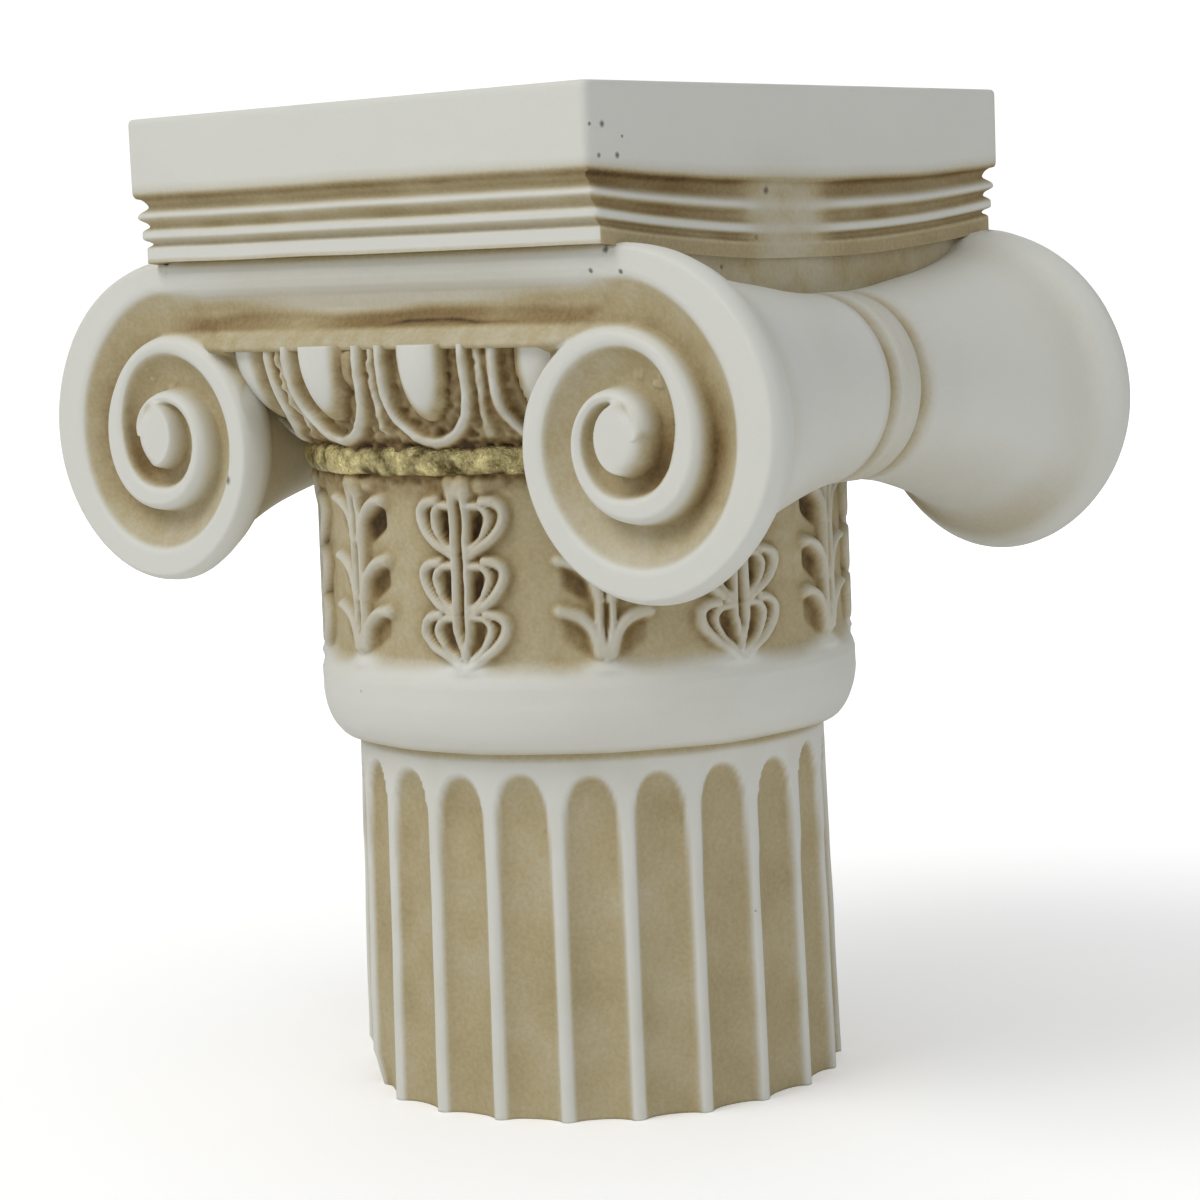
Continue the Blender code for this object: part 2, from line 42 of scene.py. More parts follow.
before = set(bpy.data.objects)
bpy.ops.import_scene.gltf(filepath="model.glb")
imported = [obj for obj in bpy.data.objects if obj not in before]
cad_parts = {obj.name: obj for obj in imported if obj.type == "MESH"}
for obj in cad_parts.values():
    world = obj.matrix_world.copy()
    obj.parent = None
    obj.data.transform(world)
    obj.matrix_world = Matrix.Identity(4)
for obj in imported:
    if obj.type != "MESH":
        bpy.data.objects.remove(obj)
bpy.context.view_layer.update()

MM = 0.001
NODE = "ionic_column"

# levels of the members, in millimetres above the foot
FLUTE_TOP = 45.0
FLUTE_ARCH = 6.4
RING_BOTTOM = 83.2
RING_TOP = 86.9
ECHINUS_TOP = 99.7
FASCIA_BOTTOM = 119.5
TOP = 130.0

# half widths of the upper members, in millimetres
CORE_HALF_X = 38.6
CORE_HALF_Y = 37.0
FASCIA_HALF_X = 40.1
FASCIA_HALF_Y = 42.4

# volutes and bolsters, in millimetres
EYE_X = 41.3
EYE_Z = 87.6
BELT_X = 42.7
BELT_Z = 92.2
BELT_RADIUS = 11.8
RIM_EDGE = 36.0
RIM_FOOT = 36.2

# spiral ridge: half turns from the top outwards, edge distance from the eye, width of the crest,
# how far the crest and the channel behind it stand out, wash at the channel's start and at its foot;
# the foot values are brown wash plus painted shade along the next turn's wall, heaviest near half turns
# 0.5 to 0.75 and 2.5 to 2.75
SPIRAL_STEPS = (
    (0.00, 23.60, 4.0, 38.30, 36.3, 0.42, 0.52),
    (0.24, 22.70, 5.7, 38.32, 36.0, 0.40, 0.64),
    (0.50, 21.80, 6.1, 38.34, 35.7, 0.40, 0.86),
    (0.75, 19.95, 4.7, 38.38, 35.6, 0.38, 0.78),
    (1.00, 19.05, 4.5, 38.45, 35.7, 0.31, 0.46),
    (1.25, 18.00, 4.1, 38.60, 35.8, 0.34, 0.42),
    (1.50, 17.45, 3.7, 38.80, 35.9, 0.40, 0.44),
    (1.75, 15.55, 2.9, 38.80, 36.0, 0.43, 0.45),
    (2.00, 13.50, 2.0, 38.75, 36.1, 0.46, 0.46),
    (2.12, 12.60, 1.9, 38.78, 36.2, 0.46, 0.50),
    (2.28, 11.20, 2.7, 38.85, 36.4, 0.52, 0.62),
    (2.50, 10.35, 3.6, 38.95, 36.6, 0.72, 0.78),
    (2.75, 9.95, 3.5, 39.05, 36.8, 0.84, 0.90),
    (3.00, 9.15, 3.0, 39.15, 37.0, 0.56, 0.66),
    (3.20, 9.10, 2.2, 39.20, 37.1, 0.48, 0.56),
    (3.50, 8.95, 1.9, 39.30, 37.3, 0.52, 0.55),
    (3.62, 8.55, 1.6, 39.40, 37.4, 0.54, 0.58),
    (3.75, 7.90, 1.5, 39.50, 37.5, 0.58, 0.60),
    (3.90, 6.80, 1.5, 39.65, 37.7, 0.60, 0.60),
    (4.03, 5.80, 1.8, 39.85, 38.0, 0.50, 0.50),
    (4.20, 4.60, 2.4, 40.05, 38.6, 0.30, 0.30),
    (4.40, 3.20, 3.0, 40.20, 39.5, 0.10, 0.10),
)
SPIRAL_END = 4.4

# pinholes that the photo shows on the near corner, in millimetres, with their radius
NAMED_PITS = (
    (40.1, -39.5, 124.9, 0.32),
    (40.1, -40.2, 121.3, 0.26),
    (40.1, -37.0, 121.3, 0.30),
    (40.1, -42.2, 125.6, 0.20),
    (40.1, -41.7, 124.9, 0.20),
    (40.1, -36.0, 123.5, 0.16),
    (39.4, -23.8, 115.6, 0.30),
    (38.9, -7.8, 117.0, 0.42),
    (38.7, -10.2, 111.2, 0.44),
    (38.7, -16.5, 107.8, 0.26),
    (38.7, -38.2, 110.5, 0.34),
    (40.9, -38.2, 107.8, 0.26),
    (36.2, -38.2, 108.0, 0.28),
    (-28.0, -38.4, 82.4, 0.50),
)
PIT_SCALE = 1.05


def smooth(low, high, value):
    """0 below the low value, 1 above the high one, with a soft step between them."""
    share = np.clip((value - low) / (high - low), 0.0, 1.0)
    return share * share * (3.0 - 2.0 * share)


def mix(start, end, share):
    """Straight mix of two values."""
    return start + (end - start) * share


def hashed(ix, iy, iz, seed):
    """A fixed number between 0 and 1 for every corner of a lattice."""
    value = np.sin(ix * 127.1 + iy * 311.7 + iz * 74.7 + seed * 53.3) * 43758.5453
    return value - np.floor(value)


def mottle(points, size, seed):
    """Soft lumps of a given size, -1 to 1, at points in millimetres."""
    q = points / size
    base = np.floor(q)
    part = q - base
    part = part * part * (3.0 - 2.0 * part)
    total = np.zeros(points.shape[:-1])
    for dx in (0, 1):
        for dy in (0, 1):
            for dz in (0, 1):
                weight = np.abs(1 - dx - part[..., 0])
                weight = weight * np.abs(1 - dy - part[..., 1])
                weight = weight * np.abs(1 - dz - part[..., 2])
                corner = hashed(base[..., 0] + dx, base[..., 1] + dy, base[..., 2] + dz, seed)
                total += weight * corner
    return 2.0 * total - 1.0


def soften(field, across, along):
    """Blur a grid that closes on itself by repeated three-point means, both ways."""
    out = field.copy()
    for _ in range(across):
        left = np.concatenate([out[:, -2:-1], out[:, :-1]], axis=1)
        right = np.concatenate([out[:, 1:], out[:, 1:2]], axis=1)
        out = 0.25 * left + 0.5 * out + 0.25 * right
    for _ in range(along):
        low = np.concatenate([out[:1], out[:-1]], axis=0)
        high = np.concatenate([out[1:], out[-1:]], axis=0)
        out = 0.25 * low + 0.5 * out + 0.25 * high
    return out


def curve_through(points, steps):
    """More points on a smooth line through a few given ones."""
    out = []
    ends = [points[0]] + list(points) + [points[-1]]
    for p, q, r, s in zip(ends, ends[1:], ends[2:], ends[3:]):
        for i in range(steps):
            t = i / steps
            out.append(tuple(
                0.5 * (2 * b + (c - a) * t + (2 * a - 5 * b + 4 * c - d) * t * t
                       + (3 * b - a - 3 * c + d) * t ** 3)
                for a, b, c, d in zip(p, q, r, s)
            ))
    out.append(tuple(points[-1]))
    return out


def path_distance(u, z, path):
    """Distance to a chain of straight lines."""
    best = np.full(np.shape(u), 1e9)
    for (a, b), (c, d) in zip(path, path[1:]):
        du, dz = c - a, d - b
        t = np.clip(((u - a) * du + (z - b) * dz) / (du * du + dz * dz), 0.0, 1.0)
        best = np.minimum(best, np.hypot(u - a - t * du, z - b - t * dz))
    return best


def ridge(distance, half):
    """Rounded ridge, 1 on its middle line and 0 well outside its half width."""
    return np.exp(-((np.abs(distance) / half) ** 3))


def plateau(across, along=0.0):
    """Flat-topped bump, 1 in its middle and 0 well beyond a distance of 1 either way."""
    return np.exp(-(across ** 4) - along ** 4)


def full_turn(count):
    """The turns of all columns round the axis, as one row."""
    return np.linspace(0.0, 2.0 * math.pi, count)[None, :]


def capped(line, first, last):
    """Row values with one more row at each end, as one column."""
    return np.concatenate([[first], line, [last]])[:, None]


def carve(name, columns, rows, fill):
    """A closed skin: a grid of quads laid into place by a function of column and row."""
    bm = bmesh.new()
    bmesh.ops.create_grid(bm, x_segments=columns, y_segments=rows, size=0.5)
    mesh = bpy.data.meshes.new(name)
    bm.to_mesh(mesh)
    bm.free()
    flat = np.empty(len(mesh.vertices) * 3)
    mesh.vertices.foreach_get("co", flat)
    flat = flat.reshape(-1, 3)
    i = np.rint((flat[:, 0] + 0.5) * columns).astype(int)
    j = np.rint((flat[:, 1] + 0.5) * rows).astype(int)
    points, wash_and_shade = fill(columns + 1, rows + 1)
    points[:, -1] = points[:, 0]
    wash_and_shade[:, -1] = wash_and_shade[:, 0]
    mesh.vertices.foreach_set("co", (points[j, i] * MM).astype(np.float32).ravel())
    # per-vertex darkness: brown patina in the hollows, with painted shade added in creases, under
    # overhangs and on sides turned from the light
    layer = mesh.attributes.new("wash_and_shade", "FLOAT", "POINT")
    layer.data.foreach_set("value", np.clip(wash_and_shade[j, i], 0.0, 1.0).astype(np.float32).ravel())
    bm = bmesh.new()
    bm.from_mesh(mesh)
    bmesh.ops.remove_doubles(bm, verts=bm.verts, dist=0.000002)
    bmesh.ops.dissolve_degenerate(bm, edges=bm.edges, dist=0.0000005)
    bmesh.ops.recalc_face_normals(bm, faces=bm.faces)
    for face in bm.faces:
        face.smooth = True
    bm.to_mesh(mesh)
    bm.free()
    item = bpy.data.objects.new(name, mesh)
    bpy.context.scene.collection.objects.link(item)
    return item


def settle(item, finish):
    """Give a piece its finish and tie it to the frame."""
    item.data.materials.append(finish)
    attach(item, "root")
    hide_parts(NODE)


def turned(radius, height, turns):
    """Points of a turned skin from a radius for every row and column."""
    return np.stack([radius * np.cos(turns), radius * np.sin(turns), height + 0.0 * radius], axis=-1)


# shaft


FLUTE_START = math.radians(7.7)
WORN_TURN = math.radians(-135.0)
WORN_HALF = 0.34
WORN_HEIGHT = 4.6


def fill_shaft(sizes, across, along):
    """Fluted shaft with arched flute tops, uneven arches and the worn patch at its foot."""
    lower = np.linspace(0.35, 36.0, along - 47)
    upper = np.linspace(36.6, 49.0, 42)
    height = np.concatenate([[0.0, 0.0, 0.0], lower, upper, [49.2, 49.2]])[:, None]
    turns = full_turn(across)
    pitch = 2.0 * math.pi / sizes.flute_count
    flute = np.floor((turns - FLUTE_START) / pitch)
    off = (turns - FLUTE_START) / pitch - flute - 0.5
    number = np.mod(flute, sizes.flute_count)
    lift = 0.9 * (hashed(number, 1.0, 2.0, 3.0) - 0.5)
    lean = 0.10 * (hashed(number, 5.0, 1.0, 8.0) - 0.5)
    off = off - lean * smooth(34.0, 44.0, height) * 0.4
    wide = mix(sizes.flute_share, sizes.flute_share - 0.08, smooth(28.0, 44.0, height)) * 0.5
    q = np.abs(off) / wide
    up = np.clip((height - (FLUTE_TOP + lift - FLUTE_ARCH)) / FLUTE_ARCH, 0.0, 2.0)
    inside = np.clip(1.0 - q ** 2.3 - up ** 2.2, 0.0, 1.0)
    depth = sizes.flute_depth / MM * inside ** 0.62
    foot, top = sizes.shaft_radius_foot / MM, sizes.shaft_radius_top / MM
    radius = mix(foot, top, np.clip(height / FLUTE_TOP, 0.0, 1.0)) + 0.0 * turns
    where = turned(radius, height, turns)
    radius = radius - depth + 0.10 * mottle(where, 7.0, 4) * (1.0 - inside)
    radius = radius + 0.07 * mottle(where, 2.6, 9) * smooth(0.05, 0.4, inside)
    near = np.mod(turns - WORN_TURN + math.pi, 2.0 * math.pi) - math.pi
    worn = np.clip(1.5 - 1.5 * np.abs(near) / WORN_HALF, 0.0, 1.0)
    worn = worn * np.clip(1.0 - height / WORN_HEIGHT, 0.0, 1.0)
    radius = radius - 2.4 * worn * (1.0 + 0.15 * mottle(where, 1.8, 6))
    radius[0] = 0.0
    radius[1] = radius[2] - 0.4
    radius[-1] = 0.0
    points = turned(radius, height, turns)
    edge = smooth(0.0, 0.34, inside)
    wash_and_shade = 0.44 * edge + 0.04 * edge * mottle(where, 9.0, 11) + 0.05 * mottle(where, 4.0, 12)
    wash_and_shade = wash_and_shade + 0.42 * smooth(46.1, 47.2, height) + 0.22 * worn + 0.03
    wash_and_shade[:2] = 0.08
    return points, wash_and_shade


# band and necking


LEAF_OUTER = curve_through(
    ((0.9, -0.4), (2.5, 0.7), (4.7, 2.3), (6.2, 4.3), (6.4, 6.1), (5.3, 7.2), (3.6, 7.5)), 4)
LEAF_INNER = curve_through(
    ((0.9, 0.3), (2.2, 1.6), (3.5, 3.2), (4.2, 5.0), (3.7, 6.3), (2.6, 6.9), (1.2, 7.0)), 4)
LEAF_HOOK = curve_through(((0.8, 1.5), (1.8, 4.5), (3.8, 6.6), (6.4, 7.3)), 4)
LEAF_FEET = (59.4, 65.9, 73.3)
LEAF_SQUEEZE = 0.87
LEAF_RISE = 0.0014
NEAR_TURN = math.radians(-49.0)


def palmette(u, z, hooked):
    """Relief and wash of palmettes over their middle lines; hooked ones have open side leaves."""
    side = np.abs(u)
    spread = 0.95 * smooth(59.6, 64.5, z)
    stem = ridge(side - spread, 0.62) * smooth(58.6, 60.4, z) * smooth(83.4, 82.2, z)
    slot = ridge(side, 0.36) * smooth(61.5, 64.0, z) * smooth(81.0, 79.0, z)
    high = 1.35 * stem
    bud = plateau(side / 2.1, (z - 81.6) / 1.7)
    lobe = plateau((side - 3.3) / 1.6, (z - 81.9) / 1.1)
    high = np.maximum(high, 1.20 * bud * (1.0 - 0.35 * slot))
    high = np.maximum(high, 0.60 * lobe * smooth(-1.0, 1.0, u))
    hole = np.zeros(np.shape(u))
    gap = np.zeros(np.shape(u))
    for number, foot in enumerate(LEAF_FEET):
        up = (z - foot) / LEAF_SQUEEZE
        far = path_distance(side, up, LEAF_OUTER)
        near = path_distance(side, up, LEAF_INNER)
        hook = path_distance(side, up, LEAF_HOOK)
        tall = smooth(foot - 1.0, foot + 1.2, z)
        high = np.maximum(high, 1.30 * ridge(far, 0.80) * mix(0.75, 1.0, tall) * (1.0 - hooked))
        high = np.maximum(high, 1.15 * ridge(near, 0.66) * mix(0.75, 1.0, tall) * (1.0 - hooked))
        high = np.maximum(high, 1.35 * ridge(hook, 0.95) * hooked)
        lean = 0.8 * (side - 2.4)
        inner = plateau((side - 2.30) / 0.66, (z - foot - 3.5 - lean) / 1.55)
        wider = plateau((side - 4.3) / 1.9, (z - foot - 3.3 - 0.5 * (side - 4.3)) / 1.5)
        tier = 0.42 + 0.29 * number
        hole = np.maximum(hole, tier * mix(inner, wider, hooked))
        gap = np.maximum(gap, ridge(far - near, 0.30) * ridge(far - 0.9, 0.8) * (1.0 - hooked))
    foot_pad = np.exp(-((side / 3.2) ** 2)) * smooth(61.2, 59.2, z) * smooth(56.5, 58.6, z)
    high = np.maximum(high, 0.75 * foot_pad)
    high = high * (1.0 - 0.75 * np.clip(1.4 * hole, 0.0, 1.0)) - 0.85 * hole - 0.10 * slot
    return high, hole, gap, slot, foot_pad


def fill_necking(sizes, across, along):
    """Plain band with its rounded underside, and the necking with a ring of palmettes."""
    count = along - 2
    under = np.array([
        (47.75, 30.5), (47.35, 31.6), (47.20, 32.4), (47.22, 32.9), (47.40, 33.35), (47.75, 33.8),
        (48.30, 34.25), (49.0, 34.72), (49.8, 35.14), (50.7, 35.50), (51.7, 35.80), (52.8, 36.0),
    ])
    above = count - len(under)
    height = np.concatenate([under[:, 0], np.linspace(53.6, 83.6, above)])
    ground = np.interp(height, [53.6, 56.4, 57.4, 58.4, 59.6, 78.0, 83.2, 83.6],
                       [36.1, 36.05, 35.75, 35.15, 34.45, 34.3, 35.1, 35.15])
    ground[:len(under)] = under[:, 1]
    height = capped(height, height[0], height[-1])
    ground = capped(ground, 0.0, 0.0)
    turns = full_turn(across)
    where = turned(ground + 0.0 * turns, height, turns)
    slow = mottle(where, 6.5, 21)
    fine = mottle(where, 1.5, 22)
    grit = mottle(where, 0.8, 23)
    group = 2.0 * math.pi / sizes.leaf_groups
    cell = np.mod(turns, group) / group - 0.5
    number = np.floor(turns / group)
    tilt = 0.55 * (hashed(number, 3.0, 1.0, 2.0) - 0.5)
    u = cell * group * sizes.neck_radius / MM / LEAF_SQUEEZE + 0.0 * height
    hooked = (np.mod(number, 2.0) < 0.5) * 1.0
    z = height + 0.0 * turns
    u = u + 0.30 * slow + tilt * (z - 70.0) / 12.0 + 0.12 * fine
    z = z + 0.35 * mottle(where, 5.0, 24) + 0.10 * fine
    high, hole, gap, slot, pad = palmette(u, z, hooked)
    carved = smooth(57.3, 58.6, height)
    relief = high * carved * sizes.leaf_rise / LEAF_RISE
    ragged = smooth(79.4, 82.6, height)
    relief = relief + ragged * (0.30 * fine + 0.32 * grit)
    relief = relief + 0.10 * fine * carved * (relief < 0.5)
    relief = relief + 0.16 * slow * smooth(48.0, 50.0, height) * smooth(57.5, 54.0, height)
    radius = ground + relief * (ground > 1.0)
    points = turned(radius, height, turns)
    skirt = 0.16 * mottle(where, 11.0, 27) * smooth(50.5, 47.3, height) * (ground > 1.0)
    raised = 0.55 * np.clip(np.cos(turns - NEAR_TURN), 0.0, 1.0) * smooth(50.5, 47.3, height)
    points[..., 2] += skirt + raised * (ground > 1.0)
    # near and broad darken the ground beside the raised leaves: brown wash in the hollows plus painted
    # shade of the relief
    near = soften(relief, 7, 7) - relief
    broad = soften(relief, 40, 40) - relief
    wash_and_shade = 0.46 + 0.05 * slow + 0.40 * np.clip(near, 0.0, 0.5) + 0.22 * np.clip(broad, -0.2, 0.6)
    tops = smooth(0.35, 1.05, relief)
    wash_and_shade = mix(wash_and_shade, 0.17 + 0.06 * mottle(where, 3.0, 26), tops * 0.9)
    wash_and_shade = wash_and_shade + 0.36 * hole + 0.16 * gap * (1.0 - tops * 0.4) + 0.02 * slot
    wash_and_shade = wash_and_shade + 0.30 * ragged * (0.6 + 0.5 * fine) + 0.22 * smooth(82.2, 83.2, height)
    veil = smooth(57.4, 60.2, height + 0.7 * mottle(where, 7.0, 25) - 1.4 * pad)
    wash_and_shade = mix(0.03 + 0.03 * slow, wash_and_shade, veil)
    wash_and_shade = wash_and_shade + 0.20 * smooth(48.2, 47.2, height)
    return points, wash_and_shade


# gold ring


def fill_ring(sizes, across, along):
    """Rough hammered ring with crumbled edges."""
    share = np.linspace(0.0, math.pi, along - 2)
    height = 0.5 * (RING_TOP + RING_BOTTOM) - 0.5 * (RING_TOP - RING_BOTTOM) * np.cos(share)
    out = sizes.ring_radius / MM - 1.5 + 1.5 * np.sin(share) ** 0.55
    height = capped(height, height[0], height[-1])
    out = capped(out, 0.0, 0.0)
    turns = full_turn(across)
    where = turned(out + 0.0 * turns, height, turns)
    dents = 0.24 * mottle(where, 1.7, 31) + 0.17 * mottle(where, 0.8, 32) + 0.22 * mottle(where, 4.5, 33)
    radius = out + dents * (out > 1.0)
    points = turned(radius, height, turns)
    points[..., 2] += 0.20 * mottle(where, 2.2, 34) * (out > 1.0)
    wash_and_shade = 0.5 - 0.9 * dents
    return points, wash_and_shade


# echinus and eggs


EGG_TURNS = (-0.63, -0.218, 0.218, 0.63)
DART_TURNS = (-0.424, 0.0, 0.424)
EGG_TOP = 99.6
EGG_BOTTOM = 90.1
FAR_AWAY = 60.0
SHELL_PATH = curve_through(
    ((-6.45, 100.5), (-6.4, 97.0), (-6.2, 93.8), (-5.3, 91.0), (-3.5, 88.9), (-1.7, 87.8),
     (0.0, 87.45)), 4)


def echinus_ground(turns, height):
    """Distance of the echinus ground from the axis: round below, squarer at its top."""
    share = np.clip((height - RING_TOP) / (ECHINUS_TOP - RING_TOP), 0.0, 1.0)
    share = np.sin(share * math.pi * 0.5) ** 0.9
    c = np.abs(np.cos(turns)) / 36.5
    s = np.abs(np.sin(turns)) / 38.8
    top = (c ** 3.3 + s ** 3.3) ** (-1.0 / 3.3)
    return mix(35.8, top, share)


def fill_echinus(sizes, across, along):
    """Quarter round with eggs, their shells, darts and the rubble between them."""
    height = np.linspace(86.3, 99.8, along - 2)
    height = capped(height, height[0], height[-1])
    turns = full_turn(across)
    ground = echinus_ground(turns, height)
    where = turned(ground, height, turns)
    fine = mottle(where, 1.4, 41)
    grit = mottle(where, 0.75, 42)
    slow = mottle(where, 4.0, 43)
    face = np.rint(turns / (0.5 * math.pi))
    front = np.mod(face, 2.0) > 0.5
    local = turns - face * 0.5 * math.pi
    z = height + 0.0 * turns
    zone = smooth(0.86, 0.80, np.abs(local)) * front
    egg = np.zeros(ground.shape)
    shell = np.zeros(ground.shape)
    well = np.zeros(ground.shape)
    for place, turn in enumerate(EGG_TURNS):
        off = local - turn
        s = np.where(np.abs(off) < 1.0, ground * np.sin(off), FAR_AWAY) + 0.10 * slow
        low = np.clip((EGG_TOP - z) / (EGG_TOP - EGG_BOTTOM), 0.0, 1.3)
        half = sizes.egg_half_width / MM * np.sqrt(np.clip(1.0 - low ** 2.4, 0.0004, 1.0))
        body = np.sqrt(np.clip(1.0 - (s / half) ** 2, 0.0, 1.0))
        egg = np.maximum(egg, body * np.clip(1.0 - low ** 2.6, 0.0, 1.0) ** 0.42)
        far = path_distance(-np.abs(s), z + 0.15 * slow, SHELL_PATH)
        shell = np.maximum(shell, ridge(far, 0.80))
        inner = smooth(5.9, 5.0, np.abs(s)) * smooth(87.9, 89.0, z)
        well = np.maximum(well, inner)
        lump = plateau((s - 4.5) / 1.1, (z - 97.0) / 2.2)
        egg = np.maximum(egg, 0.42 * lump * (place == 1))
    dart = np.zeros(ground.shape)
    for turn in DART_TURNS:
        s = ground * np.sin(local - turn) + 0.35 * slow
        point = ridge(s, 0.62) * smooth(87.0, 88.6, z + 0.5 * fine)
        dart = np.maximum(dart, point * (np.abs(local - turn) < 0.3))
    rubble = (0.34 * fine + 0.36 * grit) * smooth(0.35, 0.0, egg) * (1.0 - 0.8 * shell)
    rubble = rubble * mix(1.0, 1.6, smooth(90.5, 88.0, z))
    broken = 0.10 + 0.20 * smooth(-0.1, 0.6, mottle(where, 2.3, 45))
    relief = sizes.egg_rise / MM * egg
    relief = np.maximum(relief, (sizes.shell_rise / MM + 0.12 * slow) * shell)
    relief = np.maximum(relief, (1.35 - 1.6 * broken) * dart)
    relief = relief - 0.45 * well * smooth(0.3, 0.0, egg) * (1.0 - shell) + rubble
    relief = relief * zone + 0.15 * fine * (1.0 - zone)
    radius = ground + relief
    radius[0] = 0.0
    radius[-1] = 0.0
    points = turned(radius, height, turns)
    near = np.clip(soften(relief, 8, 9) - relief, -0.3, 0.9)
    wash_and_shade = 0.60 + 0.42 * near + 0.10 * fine + 0.05 * slow
    wash_and_shade = mix(wash_and_shade, 0.02 + 0.04 * slow, smooth(0.45, 0.80, egg) * zone)
    wash_and_shade = mix(wash_and_shade, 0.14 + 0.10 * fine, smooth(0.45, 0.95, shell) * smooth(0.5, 0.3, egg) * zone)
    wash_and_shade = mix(wash_and_shade, 0.30 + 0.15 * fine, smooth(0.5, 0.95, dart) * smooth(0.3, 0.1, egg) * zone)
    wash_and_shade = wash_and_shade + 0.30 * smooth(88.4, 87.0, z) * (1.0 - 0.6 * shell)
    return points, wash_and_shade


# canalis and volutes


# height and reach of the band between the volutes, from under the eggs' ledge to the abacus
CANALIS_PROFILE = (
    (95.0, 36.0), (98.5, 36.4), (99.25, 38.9), (99.7, 39.05), (100.4, 38.75), (101.3, 38.0),
    (102.2, 37.2), (103.2, 36.55), (104.6, 36.35), (106.2, 36.75), (107.4, 37.75), (108.4, 38.2),
    (109.6, 38.3), (110.6, 38.05), (111.2, 37.4), (111.6, 36.4),
)
CRACK_HEIGHT = 102.45
TOP_SPAN = 5.7


def canalis_reach(x, z, where):
    """How far the band between the volutes stands out, and how dark it is: brown patina, with painted
    shade from the abacus above.
    """
    across = np.abs(x)
    heights, reaches = zip(*CANALIS_PROFILE)
    level = np.interp(z, heights, reaches)
    fade = np.clip((1.0 - across / 33.0) * 3.0, 0.0, 1.0)
    bow = (0.55 - 0.0009 * across * across) * fade
    ledge = smooth(102.6, 100.6, z)
    level = level + ledge * bow - 0.9 * ledge * smooth(0.35, 0.0, fade)
    fine = mottle(where, 1.5, 51)
    grit = mottle(where, 0.8, 52)
    slow = mottle(where, 9.0, 53)
    crack = np.exp(-(((z - CRACK_HEIGHT - 0.35 * mottle(where, 6.0, 54)) / 0.20) ** 2))
    crack = crack * smooth(-0.35, 0.3, mottle(where, 7.0, 55))
    crack = crack * smooth(0.0, 6.0, x) * smooth(28.0, 20.0, x)
    level = level + ledge * (0.10 * fine + 0.10 * grit) - 0.16 * crack
    level = level + 0.06 * slow * smooth(103.0, 106.0, z)
    brim = 104.2 + 0.9 * mottle(where, 8.0, 56)
    brown = smooth(brim + 0.7, brim - 0.9, z)
    middle = smooth(-14.0, -4.0, x) * smooth(24.0, 12.0, x)
    outer = smooth(14.0, 30.0, across)
    # 0.07 * fade darkens the middle of the band: painted shade from the abacus's overhang
    wash_and_shade = 0.03 + 0.07 * fade + 0.13 * smooth(107.3, 105.6, z)
    wash_and_shade = wash_and_shade + brown * mix(0.34, 0.56, np.maximum(middle, outer))
    wash_and_shade = wash_and_shade + 0.30 * outer * smooth(107.2, 105.0, z) * (1.0 - brown)
    wash_and_shade = mix(wash_and_shade, 0.40 + 0.07 * fine + 0.05 * slow, smooth(102.3, 101.5, z))
    # 0.38 at the top, under the abacus: a thin brown line plus the painted shadow of the abacus's
    #                                    overhang
    wash_and_shade = wash_and_shade + 0.30 * crack + 0.38 * smooth(109.9, 111.2, z) + 0.10 * smooth(99.8, 99.3, z)
    return level, wash_and_shade


def spiral_course():
    """The steps of the spiral as one finely divided, smoothed course."""
    steps = np.array(SPIRAL_STEPS)
    fine = np.linspace(0.0, SPIRAL_END, 221)
    course = np.stack([np.interp(fine, steps[:, 0], steps[:, i]) for i in range(1, 7)])
    for _ in range(16):
        course[:, 1:-1] = 0.25 * course[:, :-2] + 0.5 * course[:, 1:-1] + 0.25 * course[:, 2:]
    return fine, course


def spiral_at(tau):
    """Edge, width, crest, floor and both washes of the ridge after a number of half turns."""
    fine, course = spiral_course()
    values = [np.interp(tau, fine, line) for line in course]
    values[0] = np.where(tau > SPIRAL_END, 0.5, values[0])
    return values


def channel_field(s, wide, crest, floor, span, thin, foot_wash_and_shade, tau):
    """Height and darkness behind the outer line of a ridge: rounded crest, then its channel, darker
    towards its foot with brown patina and painted shade.
    """
    start = 0.75 * (1.0 - np.clip(s / 0.9, 0.0, 1.0)) ** 2
    finish = 0.35 * smooth(wide - 0.9, wide + 0.2, s)
    top = crest - start - finish
    power = mix(1.7, 3.2, smooth(1.2, 2.2, tau))
    t = np.clip((s - wide) / np.maximum(span, 0.9), 0.0, 1.0)
    level = np.where(s < wide, top, mix(crest - 0.35, floor, 1.0 - (1.0 - t) ** power))
    # darker towards the channel's foot: brown wash plus painted shade along the foot of the next turn's
    # wall
    wash_and_shade = mix(thin, foot_wash_and_shade, t ** 1.4) * smooth(wide - 0.45, wide + 0.55, s)
    return level, wash_and_shade


def band_field(across, z, where):
    """Canalis that turns into the top of the spiral near the eye, with its patina and painted shade."""
    level, wash_and_shade = canalis_reach(across * np.sign(where[..., 0] + 1e-9), z, where)
    edge, wide, crest, floor, thin, foot_wash_and_shade = spiral_at(np.zeros(1))
    s = edge - (z - EYE_Z)
    top, top_wash_and_shade = channel_field(s, wide, crest, floor, TOP_SPAN, thin, foot_wash_and_shade, 0.0)
    share = smooth(33.0, 40.8, across)
    return mix(level, top, share), mix(wash_and_shade, top_wash_and_shade, share)


def loop_reach(turn):
    """Outline of the volute as one closed loop about the eye."""
    reach = spiral_at(turn / math.pi)[0]
    start = spiral_at(np.zeros(1))[0]
    return mix(reach, start, smooth(1.58 * math.pi, 2.0 * math.pi, turn))


def inside_loop(x, z):
    """How far a place about the eye lies inside the outline of the volute."""
    return loop_reach(np.mod(np.arctan2(x, z), 2.0 * math.pi)) - np.hypot(x, z)


